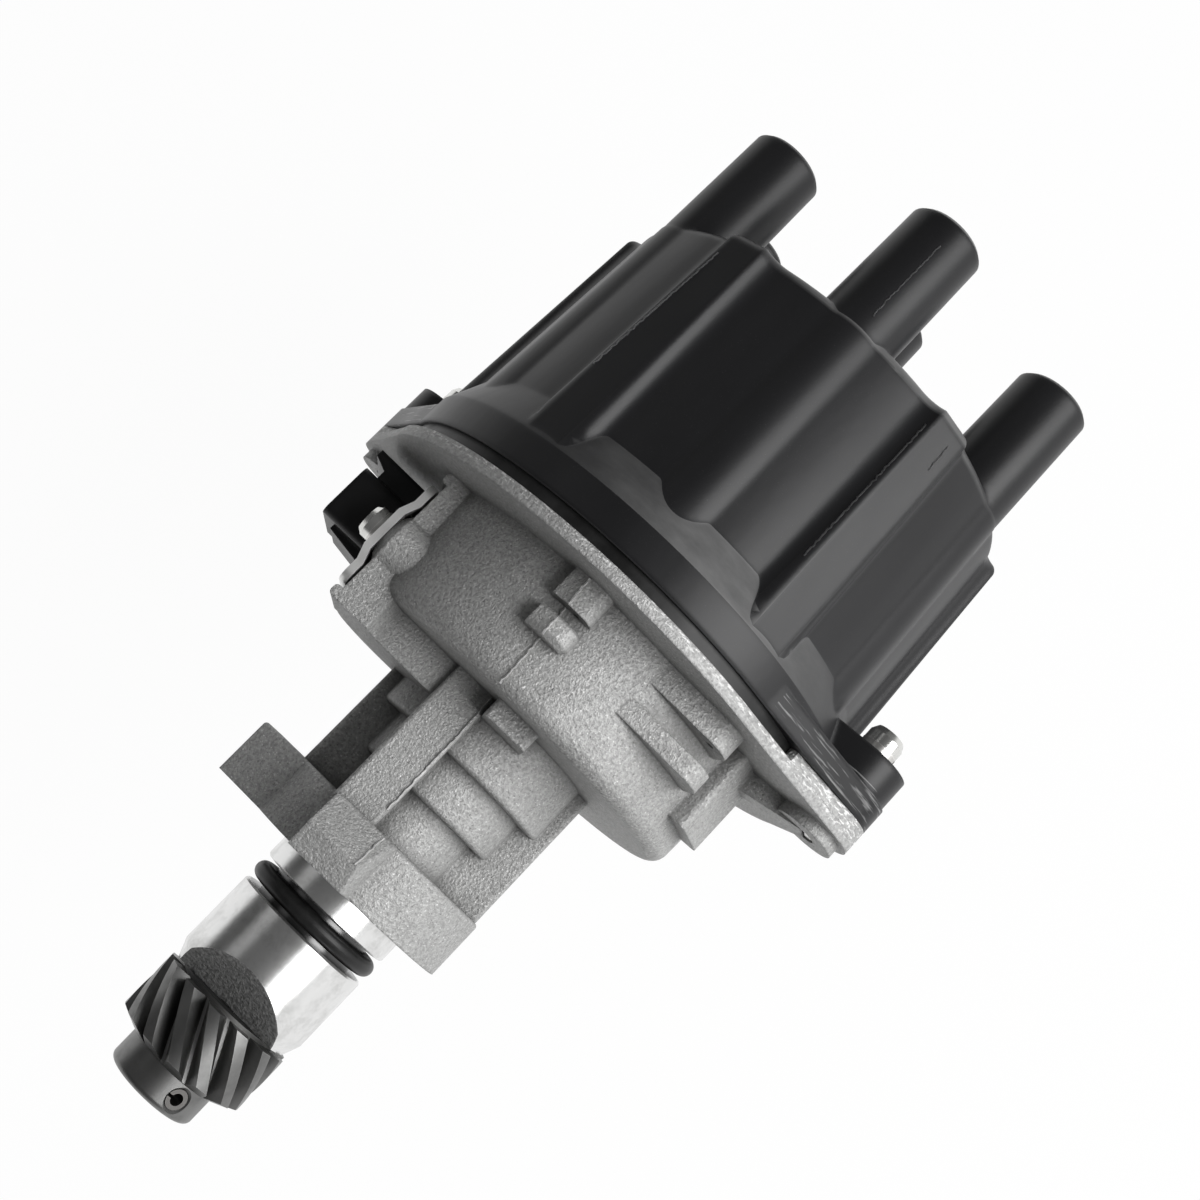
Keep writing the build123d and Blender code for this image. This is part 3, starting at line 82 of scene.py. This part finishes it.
class Surface:
    """A Principled material with short calls for the nodes that feed it."""

    def __init__(self, name, color, metallic=0.0, roughness=0.5, specular=0.5):
        self.material = bpy.data.materials.new(name)
        self.material.use_nodes = True
        self.tree = self.material.node_tree
        self.shader = self.tree.nodes["Principled BSDF"]
        self.set("Base Color", (*color, 1.0))
        self.set("Metallic", metallic)
        self.set("Roughness", roughness)
        self.set("Specular IOR Level", specular)
        self.place = self.add("ShaderNodeTexCoord").outputs["Object"]

    def add(self, kind, inputs=None, **settings):
        node = self.tree.nodes.new(kind)
        for key, value in settings.items():
            setattr(node, key, value)
        for key, value in (inputs or {}).items():
            if isinstance(value, bpy.types.NodeSocket):
                self.tree.links.new(value, node.inputs[key])
            else:
                node.inputs[key].default_value = value
        return node

    def set(self, socket, value):
        if isinstance(value, bpy.types.NodeSocket):
            self.tree.links.new(value, self.shader.inputs[socket])
        else:
            self.shader.inputs[socket].default_value = value

    def math(self, operation, first, second=0.0, third=0.0):
        return self.add("ShaderNodeMath", {0: first, 1: second, 2: third}, operation=operation).outputs[0]

    def limits(self, value, low, high, out_low=0.0, out_high=1.0):
        names = {"Value": value, "From Min": low, "From Max": high, "To Min": out_low, "To Max": out_high}
        return self.add("ShaderNodeMapRange", names).outputs["Result"]

    def stretched(self, scale):
        return self.add("ShaderNodeMapping", {"Vector": self.place, "Scale": scale}).outputs[0]

    def noise(self, scale, detail=4.0, roughness=0.55, place=None):
        names = {"Vector": place or self.place, "Scale": scale, "Detail": detail, "Roughness": roughness}
        return self.add("ShaderNodeTexNoise", names).outputs["Fac"]

    def blend(self, factor, first, second):
        node = self.add("ShaderNodeMix", {"Factor": factor}, data_type="RGBA")
        for socket, value in ((node.inputs[6], first), (node.inputs[7], second)):
            if isinstance(value, bpy.types.NodeSocket):
                self.tree.links.new(value, socket)
            else:
                socket.default_value = (*value, 1.0)
        return node.outputs[2]

    def mix(self, factor, first, second):
        names = {"Factor": factor, "A": first, "B": second}
        return self.add("ShaderNodeMix", names, data_type="FLOAT").outputs[0]

    def axes(self):
        node = self.add("ShaderNodeSeparateXYZ", {0: self.place})
        return node.outputs[0], node.outputs[1], node.outputs[2]

    def bump(self, height, distance, strength=1.0, below=None):
        names = {"Height": height, "Distance": distance, "Strength": strength}
        if below:
            names["Normal"] = below
        return self.add("ShaderNodeBump", names).outputs[0]

    def edges(self, radius, low, high):
        """1 on sharp edges and 0 on open surfaces, from the spread between two normals."""
        bevel = self.add("ShaderNodeBevel", {"Radius": radius}, samples=4).outputs[0]
        normal = self.add("ShaderNodeNewGeometry").outputs["Normal"]
        dot = self.add("ShaderNodeVectorMath", {0: bevel, 1: normal}, operation="DOT_PRODUCT")
        return self.limits(dot.outputs["Value"], high, low)


def cast_aluminium():
    """Blasted casting with a scuffed rim, a turned journal and a rough oblique cut at the journal's end."""
    surface = Surface("cast_aluminium", (0.37, 0.37, 0.365), metallic=0.3, roughness=0.6)
    x, y, z = surface.axes()
    squares = surface.math("ADD", surface.math("POWER", x, 2.0), surface.math("POWER", y, 2.0))
    radius = surface.math("SQRT", squares)
    # Blasted skin: grains with bright and dark specks and cloudy patches, with painted shade in the corners
    grain = surface.noise(1500, 2, 0.6)
    specks = surface.noise(2600, 1, 0.5)
    patches = surface.noise(70, 4, 0.6)
    grain_shade = surface.limits(grain, 0.35, 0.65, 0.0, 0.7)
    shade = surface.math("MULTIPLY_ADD", surface.limits(patches, 0.3, 0.7), 0.3, grain_shade)
    cast_color = surface.blend(shade, (0.27, 0.27, 0.266), (0.45, 0.45, 0.445))
    cast_color = surface.blend(surface.limits(specks, 0.66, 0.74, 0.0, 0.8), cast_color, (0.75, 0.75, 0.745))
    cast_color = surface.blend(surface.limits(specks, 0.34, 0.27, 0.0, 0.7), cast_color, (0.11, 0.11, 0.108))
    # Painted shade: the colour darkens where ambient occlusion finds corners and creases
    corners = surface.add("ShaderNodeAmbientOcclusion", {"Distance": 0.004}, samples=4).outputs["AO"]
    cast_color = surface.blend(surface.limits(corners, 0.35, 0.9), (0.15, 0.15, 0.147), cast_color)
    # Machined edge of the rim, with scuffs along its upper corner
    on_rim = surface.math("MULTIPLY", surface.math("GREATER_THAN", z, rim_z),
                          surface.math("GREATER_THAN", radius, rim_start))
    scuffs = surface.noise(1.0, 3, 0.65, surface.stretched((700, 700, 2400)))
    upper = surface.limits(z, rim_z + 0.0006, rim_z + 0.0022)
    rim_grain = surface.blend(surface.limits(grain, 0.3, 0.7), (0.29, 0.29, 0.287), (0.44, 0.44, 0.436))
    scuffed = surface.math("MULTIPLY", surface.limits(scuffs, 0.54, 0.6), upper)
    rim_color = surface.blend(scuffed, rim_grain, (0.72, 0.72, 0.715))
    # Turned journal with painted shade in its groove, and the cut across its lower edge
    turned = surface.math("MULTIPLY", surface.math("LESS_THAN", radius, journal_radius + journal_margin),
                          surface.math("LESS_THAN", z, journal_top))
    groove = surface.math("MULTIPLY", surface.math("LESS_THAN", radius, journal_radius - groove_depth),
                          surface.math("GREATER_THAN", z, groove_low))
    outwards = surface.math("MULTIPLY_ADD", x, cos(relief_angle),
                            surface.math("MULTIPLY", y, sin(relief_angle)))
    depth = surface.math("SUBTRACT", outwards, z)
    cut = surface.math("GREATER_THAN", depth, journal_radius + relief_start - relief_margin)
    rings = surface.noise(1.0, 2, 0.5, surface.stretched((60, 60, 7000)))
    wear = surface.noise(130, 5, 0.7)
    turned_color = surface.blend(surface.limits(wear, 0.45, 0.75), (0.78, 0.78, 0.775), (0.5, 0.5, 0.49))
    # Painted shade: the o-ring's groove is drawn near black
    turned_color = surface.blend(groove, turned_color, (0.1, 0.1, 0.1))
    stain = surface.noise(150, 4, 0.6)
    cut_color = surface.blend(surface.limits(grain, 0.35, 0.65), (0.12, 0.12, 0.118), (0.26, 0.26, 0.257))
    cut_color = surface.blend(surface.limits(stain, 0.58, 0.68, 0.0, 0.75), cut_color, (0.05, 0.05, 0.049))
    color = surface.blend(on_rim, cast_color, rim_color)
    color = surface.blend(turned, color, surface.blend(cut, turned_color, cut_color))
    bright = surface.math("MULTIPLY", turned, surface.math("SUBTRACT", 1.0, cut))
    surface.set("Base Color", color)
    surface.set("Metallic", surface.mix(bright, 0.3, 1.0))
    surface.set("Roughness", surface.mix(bright, surface.limits(grain, 0.3, 0.7, 0.66, 0.5), 0.24))
    softened = surface.add("ShaderNodeBevel", {"Radius": 0.0006}, samples=4).outputs[0]
    blasted = surface.bump(surface.math("MULTIPLY_ADD", specks, 0.5, grain), 0.0003, 0.9, softened)
    lathe = surface.bump(rings, 0.000004, 0.4)
    normal = surface.add("ShaderNodeMix", {"Factor": bright}, data_type="VECTOR")
    surface.tree.links.new(blasted, normal.inputs[4])
    surface.tree.links.new(lathe, normal.inputs[5])
    surface.set("Normal", normal.outputs[1])
    return surface.material


def moulded(name, color, roughness, grain_scale, grain_depth, wear=(0.09, 0.09, 0.092), specular=0.5,
             dusty=0.0, scratched=0.0):
    """Moulded plastic with a fine skin, faint flow marks, soft paler edges and dust on what faces up,
    thickest in a patch at the front centre-right where it is painted sheen as well.
    """
    surface = Surface(name, color, roughness=roughness, specular=specular)
    skin = surface.noise(grain_scale, 4, 0.6)
    flow = surface.noise(38, 4, 0.6, surface.stretched((1, 1, 0.35)))
    specks = surface.limits(surface.noise(5200, 2, 0.5), 0.68, 0.78)
    paler = surface.blend(surface.limits(flow, 0.35, 0.7, 0.0, 0.45), color, [2.1 * c for c in color])
    edge = surface.edges(0.0006, 0.86, 0.99)
    edged = surface.blend(surface.math("MULTIPLY", edge, 0.45), paler, wear)
    speckled = surface.blend(surface.math("MULTIPLY", specks, 0.12), edged, (0.3, 0.3, 0.3))
    facing = surface.add("ShaderNodeNewGeometry").outputs["Normal"]
    upwards = surface.add("ShaderNodeSeparateXYZ", {0: facing}).outputs[2]
    x, y, z = surface.axes()
    # Dust and painted sheen: a pale cloud on what faces up, faint everywhere and full in a patch at the front
    # centre-right, where it stands in for a soft sheen of the light
    smears = surface.noise(60, 6, 0.6, surface.stretched((1, 1, 2.5)))
    front_sheen_patch = surface.math("MULTIPLY", surface.limits(x, -0.03, 0.0), surface.limits(x, 0.045, 0.02))
    front_sheen_patch = surface.math("MULTIPLY", front_sheen_patch, surface.limits(y, -0.02, -0.045))
    dust_and_sheen_amount = surface.math("MULTIPLY", surface.limits(smears, 0.25, 0.75, 0.3, 1.0),
                         surface.limits(front_sheen_patch, 0.0, 1.0, 0.08 * dusty, dusty))
    dust = surface.math("MULTIPLY", surface.limits(upwards, 0.08, 0.3), dust_and_sheen_amount)
    if dusty:
        speckled = surface.blend(dust, speckled, (0.16, 0.16, 0.16))
    if scratched:
        squares = surface.math("ADD", surface.math("POWER", x, 2.0), surface.math("POWER", y, 2.0))
        on_lug = surface.math("MULTIPLY", surface.math("GREATER_THAN", squares, lug_start**2),
                              surface.math("LESS_THAN", z, lug_top))
        scratches = surface.noise(1.0, 3, 0.6, surface.stretched((90, 90, 1500)))
        scratch = surface.math("MULTIPLY", on_lug, surface.limits(scratches, 0.56, 0.66, 0.0, scratched))
        speckled = surface.blend(scratch, speckled, (0.3, 0.3, 0.3))
    surface.set("Base Color", speckled)
    surface.set("Roughness", surface.limits(flow, 0.25, 0.75, roughness - 0.05, roughness + 0.07))
    softened = surface.add("ShaderNodeBevel", {"Radius": 0.0016}, samples=6).outputs[0]
    wave = surface.bump(flow, 0.0006, 0.35, softened)
    surface.set("Normal", surface.bump(skin, grain_depth, 0.6, wave))
    return surface.material


def metal(name, color, roughness, scale=(300, 300, 5000), depth=0.000008, stain=0.25, dark=0.45):
    """Machined or plated metal with fine tool marks, stains and brighter edges."""
    surface = Surface(name, color, metallic=1.0, roughness=roughness)
    marks = surface.noise(1.0, 3, 0.55, surface.stretched(scale))
    cloud = surface.noise(160, 5, 0.65)
    shade = [dark * c for c in color]
    stained = surface.blend(surface.limits(cloud, 0.45, 0.72, 0.0, stain), color, shade)
    edge = surface.edges(0.0004, 0.8, 0.98)
    bright = [min(1.0, 1.35 * c) for c in color]
    surface.set("Base Color", surface.blend(surface.math("MULTIPLY", edge, 0.6), stained, bright))
    surface.set("Roughness", surface.limits(cloud, 0.3, 0.7, roughness - 0.04, roughness + 0.1))
    surface.set("Normal", surface.bump(marks, depth, 0.6))
    return surface.material


def rubber(name, color, roughness=0.5):
    """Rubber or fibre with a fine matt skin and pale dust."""
    surface = Surface(name, color, roughness=roughness, specular=0.28)
    skin = surface.noise(2600, 4, 0.6)
    cloud = surface.noise(220, 4, 0.6)
    dusty = [min(1.0, 3.2 * c + 0.01) for c in color]
    surface.set("Base Color", surface.blend(surface.limits(cloud, 0.4, 0.75, 0.0, 0.5), color, dusty))
    surface.set("Roughness", surface.limits(cloud, 0.3, 0.7, roughness - 0.06, roughness + 0.1))
    surface.set("Normal", surface.bump(skin, 0.00003, 0.6))
    return surface.material


materials = {
    "cast_aluminium": cast_aluminium(),
    # The cap's dusty level also sets the painted sheen patch at its front
    "cap_plastic": moulded("cap_plastic", (0.009, 0.009, 0.0098), 0.38, 2200, 0.000016, specular=0.32,
                           dusty=1.0, scratched=0.7),
    "connector_plastic": moulded("connector_plastic", (0.005, 0.005, 0.0053), 0.42, 2600, 0.00003,
                                 specular=0.3),
    "sensor_plastic": moulded("sensor_plastic", (0.03, 0.03, 0.03), 0.5, 2400, 0.00003),
    "cover_plastic": moulded("cover_plastic", (0.05, 0.045, 0.04), 0.5, 2000, 0.00003),
    "rotor_plastic": moulded("rotor_plastic", (0.09, 0.03, 0.02), 0.38, 2000, 0.00002,
                             wear=(0.2, 0.09, 0.06)),
    "seal_rubber": rubber("seal_rubber", (0.008, 0.008, 0.008), 0.4),
    "gasket_fibre": rubber("gasket_fibre", (0.05, 0.05, 0.048), 0.8),
    "carbon": rubber("carbon", (0.03, 0.03, 0.032), 0.45),
    "terminal_metal": metal("terminal_metal", (0.78, 0.77, 0.75), 0.3),
    "spring_steel": metal("spring_steel", (0.66, 0.65, 0.63), 0.28, stain=0.35),
    "zinc_steel": metal("zinc_steel", (0.72, 0.72, 0.7), 0.2, scale=(900, 900, 2500), stain=0.3),
    "ground_steel": metal("ground_steel", (0.62, 0.62, 0.61), 0.26),
    "gear_steel": metal("gear_steel", (0.2, 0.2, 0.197), 0.36, scale=(900, 900, 900), stain=0.5),
    "pin_steel": metal("pin_steel", (0.16, 0.155, 0.15), 0.4, stain=0.3),
    "washer_steel": metal("washer_steel", (0.08, 0.08, 0.078), 0.5),
    "bush_bronze": metal("bush_bronze", (0.6, 0.42, 0.22), 0.45),
    "bearing_steel": metal("bearing_steel", (0.78, 0.78, 0.78), 0.12, stain=0.08),
    "cage_steel": metal("cage_steel", (0.6, 0.6, 0.59), 0.34),
    "disc_steel": metal("disc_steel", (0.63, 0.63, 0.63), 0.3, scale=(2000, 200, 200)),
    "rotor_brass": metal("rotor_brass", (0.78, 0.6, 0.28), 0.3),
    "pin_plating": metal("pin_plating", (0.82, 0.8, 0.76), 0.22, stain=0.1),
    "bracket_steel": metal("bracket_steel", (0.85, 0.85, 0.84), 0.42, scale=(700, 700, 700), stain=0.25),
}
for part in frame["record"]["subparts"]:
    mesh = nodes[part["node"]].data
    mesh.materials.clear()
    mesh.materials.append(materials[part["material_slot"]])


# The spring behind the carbon brush, copied into a mesh of its own on the body

spring = bpy.data.objects.new("brush_spring_coil", nodes["brush_spring"].data.copy())
bpy.context.scene.collection.objects.link(spring)
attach(spring, "distributor_body")
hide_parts("brush_spring")
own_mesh(spring)


# Raised lines that the moulds left

seam_step = 0.4
seam_wander = 0.25
seam_break = 0.0009
seam_foot = 0.00012
ray_start = -100.0


def seam(name, node, finish, stretches, width, height):
    """A thin raised line on a node's front, along stretches of (x, z) points in millimetres."""
    mesh = nodes[node].data
    faces = [tuple(face.vertices) for face in mesh.polygons]
    surface = BVHTree.FromPolygons([vertex.co for vertex in mesh.vertices], faces)
    runs = []
    for stretch in stretches:
        runs.append([])
        for (x_start, z_start), (x_end, z_end) in zip(stretch, stretch[1:]):
            steps = ceil(abs(z_end - z_start) / seam_step)
            for step in range(steps + 1):
                share = step / steps
                x = x_start + (x_end - x_start) * share
                z = z_start + (z_end - z_start) * share
                x += seam_wander * noise.noise(Vector((0.4 * x, 0.0, 1.3 * z)))
                hit = surface.ray_cast(Vector((x, ray_start, z)) / 1000, Vector((0.0, 1.0, 0.0)))[0]
                if hit is None or runs[-1] and abs(hit.y - runs[-1][-1].y) > seam_break:
                    runs.append([])
                if hit is not None:
                    runs[-1].append(hit)
    ridge = bmesh.new()
    for run in runs:
        if len(run) < 3:
            continue
        rings = []
        for place in run:
            crest = height * (1.0 + 0.45 * noise.noise(1500 * place))
            sides = ((-width / 2, seam_foot), (0.0, -crest), (width / 2, seam_foot))
            rings.append([ridge.verts.new(place + Vector((x, y, 0.0))) for x, y in sides])
        for first, second in zip(rings, rings[1:]):
            for side in range(3):
                other = (side + 1) % 3
                ridge.faces.new((first[side], first[other], second[other], second[side]))
        ridge.faces.new(rings[0])
        ridge.faces.new(rings[-1])
    bmesh.ops.recalc_face_normals(ridge, faces=ridge.faces)
    ridge_mesh = bpy.data.meshes.new(name)
    ridge.to_mesh(ridge_mesh)
    ridge.free()
    ridge_mesh.materials.append(finish)
    line = bpy.data.objects.new(name, ridge_mesh)
    bpy.context.scene.collection.objects.link(line)
    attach(line, "distributor_body")


seam(
    "casting_flash", "housing",
    metal("flash_metal", (0.75, 0.75, 0.745), 0.42, scale=(1500, 1500, 1500), depth=0.00003, stain=0.1),
    (
        ((-6.5, 68.4), (-6.3, 62.6)), ((-6.2, 62.4), (-5.9, 60.2)), ((-6.0, 60.0), (-5.8, 55.8)),
        ((-5.6, 55.4), (-5.2, 45.0)), ((-4.7, 44.2), (-4.4, 34.5), (-4.2, 16.2)), ((-1.0, 13.0), (-1.5, 5.4)),
    ),
    0.0006, 0.0005,
)
# The cap's mould lines are ridges of the cap's own black plastic, drawn light grey: a painted highlight along
# each line
seam(
    "cap_mould_lines", "cap", moulded("mould_line_painted_highlight", (0.2, 0.2, 0.205), 0.35, 2200, 0.00002),
    (
        ((-3.3, 157.0), (-3.2, 138.0)), ((17.3, 131.0), (17.4, 97.0)), ((22.9, 131.5), (23.2, 125.7)),
        ((-31.7, 130.0), (-33.2, 98.0)),
    ),
    0.00045, 0.00018,
)


# Camera: it looks almost straight at the front, pitched up a little, and is rolled so that the towers point
# to the upper right.

camera_place = (0.00055, -0.32461, 0.01352)
camera_turn = radians(0.676)
camera_tilt = radians(100.823)
camera_roll = radians(44.208)
camera_data = bpy.data.cameras.new("camera")
camera_data.sensor_width = 36.0
camera_data.lens = 49.21
camera_data.clip_start = 0.01
camera_data.clip_end = 10.0
camera = bpy.data.objects.new("camera", camera_data)
turn = Matrix.Rotation(camera_turn, 4, "Z") @ Matrix.Rotation(camera_tilt, 4, "X")
upright = Matrix.Translation(camera_place) @ turn
camera.matrix_world = upright @ Matrix.Rotation(camera_roll, 4, "Z")
bpy.context.scene.collection.objects.link(camera)
bpy.context.scene.camera = camera
bpy.context.scene.view_settings.view_transform = "Standard"


# Floor: the object lies in front of it, as on a table seen from above; from behind it is seen through

def plain(name, color, camera_strength):
    """Paper that camera and mirror rays see as even white; it is seen through from its back."""
    material = bpy.data.materials.new(name)
    material.use_nodes = True
    tree = material.node_tree
    tree.nodes.clear()
    output = tree.nodes.new("ShaderNodeOutputMaterial")
    diffuse = tree.nodes.new("ShaderNodeBsdfDiffuse")
    diffuse.inputs["Color"].default_value = (*color, 1.0)
    glow = tree.nodes.new("ShaderNodeEmission")
    glow.inputs["Strength"].default_value = 1.0
    rays = tree.nodes.new("ShaderNodeLightPath")
    most = tree.nodes.new("ShaderNodeMath")
    most.operation = "MAXIMUM"
    tree.links.new(rays.outputs["Is Camera Ray"], most.inputs[0])
    tree.links.new(rays.outputs["Is Glossy Ray"], most.inputs[1])
    more = tree.nodes.new("ShaderNodeMath")
    more.operation = "MAXIMUM"
    tree.links.new(most.outputs[0], more.inputs[0])
    tree.links.new(rays.outputs["Is Transmission Ray"], more.inputs[1])
    share = tree.nodes.new("ShaderNodeMath")
    share.operation = "MULTIPLY"
    share.inputs[1].default_value = camera_strength
    tree.links.new(more.outputs[0], share.inputs[0])
    mix = tree.nodes.new("ShaderNodeMixShader")
    tree.links.new(share.outputs[0], mix.inputs[0])
    tree.links.new(diffuse.outputs[0], mix.inputs[1])
    tree.links.new(glow.outputs[0], mix.inputs[2])
    clear = tree.nodes.new("ShaderNodeBsdfTransparent")
    sides = tree.nodes.new("ShaderNodeNewGeometry")
    one_sided = tree.nodes.new("ShaderNodeMixShader")
    tree.links.new(sides.outputs["Backfacing"], one_sided.inputs[0])
    tree.links.new(mix.outputs[0], one_sided.inputs[1])
    tree.links.new(clear.outputs[0], one_sided.inputs[2])
    tree.links.new(one_sided.outputs[0], output.inputs["Surface"])
    return material


floor_y = 0.16
reach = 3
corners = [(x, floor_y, z) for x, z in ((-reach, -reach), (reach, -reach), (reach, reach), (-reach, reach))]
floor_mesh = bpy.data.meshes.new("floor")
floor_mesh.from_pydata(corners, [], [(0, 1, 2, 3)])
floor = bpy.data.objects.new("floor", floor_mesh)
floor_mesh.materials.append(plain("floor_paper", (0.86, 0.86, 0.86), 0.96))
bpy.context.scene.collection.objects.link(floor)

# Light: a dim room that is brighter on the right, a large lamp from the right and a weak one from the left.
# The camera sees the room as white, and so do mirror rays towards the back and the far right.

world = bpy.data.worlds.new("studio")
world.use_nodes = True
bpy.context.scene.world = world
sky = world.node_tree.nodes["Background"]
sky.inputs["Color"].default_value = (1.0, 1.0, 1.0, 1.0)


def sky_node(kind, inputs, **settings):
    """A node of the world, with its inputs linked or set; the first output is given back."""
    node = world.node_tree.nodes.new(kind)
    for key, value in settings.items():
        setattr(node, key, value)
    for key, value in inputs.items():
        if isinstance(value, bpy.types.NodeSocket):
            world.node_tree.links.new(value, node.inputs[key])
        else:
            node.inputs[key].default_value = value
    return node.outputs[0]


toward = world.node_tree.nodes.new("ShaderNodeSeparateXYZ")
direction = world.node_tree.nodes.new("ShaderNodeTexCoord").outputs["Generated"]
world.node_tree.links.new(direction, toward.inputs[0])
rays = world.node_tree.nodes.new("ShaderNodeLightPath").outputs
room = sky_node("ShaderNodeMapRange",
                {"Value": toward.outputs["X"], "From Min": -1.0, "To Min": 0.08, "To Max": 0.2})
side = sky_node("ShaderNodeMath", {0: toward.outputs["X"], 1: 0.3, 2: toward.outputs["Y"]},
                operation="MULTIPLY_ADD")
behind = sky_node("ShaderNodeMapRange", {"Value": side, "From Min": -0.25, "From Max": 0.0})
mirrored = sky_node("ShaderNodeMath", {0: rays["Is Glossy Ray"], 1: rays["Is Transmission Ray"]},
                    operation="MAXIMUM")
mirrored = sky_node("ShaderNodeMath", {0: mirrored, 1: behind}, operation="MULTIPLY")
white = sky_node("ShaderNodeMath", {0: rays["Is Camera Ray"], 1: mirrored}, operation="MAXIMUM")
level = sky_node("ShaderNodeMix", {"Factor": white, "A": room, "B": 1.0}, data_type="FLOAT")
world.node_tree.links.new(level, sky.inputs["Strength"])


object_middle = Vector((0.0, 0.0, 0.056))


def softbox(name, place, width, height, power):
    """A rectangular lamp at a place counted from the object's middle, aimed at that middle."""
    lamp_data = bpy.data.lights.new(name, "AREA")
    lamp_data.shape = "RECTANGLE"
    lamp_data.size = width
    lamp_data.size_y = height
    lamp_data.energy = power
    lamp = bpy.data.objects.new(name, lamp_data)
    aim = Vector(place).to_track_quat("Z", "Y").to_matrix().to_4x4()
    lamp.matrix_world = Matrix.Translation(object_middle + Vector(place)) @ aim
    bpy.context.scene.collection.objects.link(lamp)


softbox("key", (0.58, -0.69, 0.2), 0.6, 0.8, 11.0)
softbox("fill", (-0.6, -0.5, 0.1), 0.3, 0.6, 0.2)
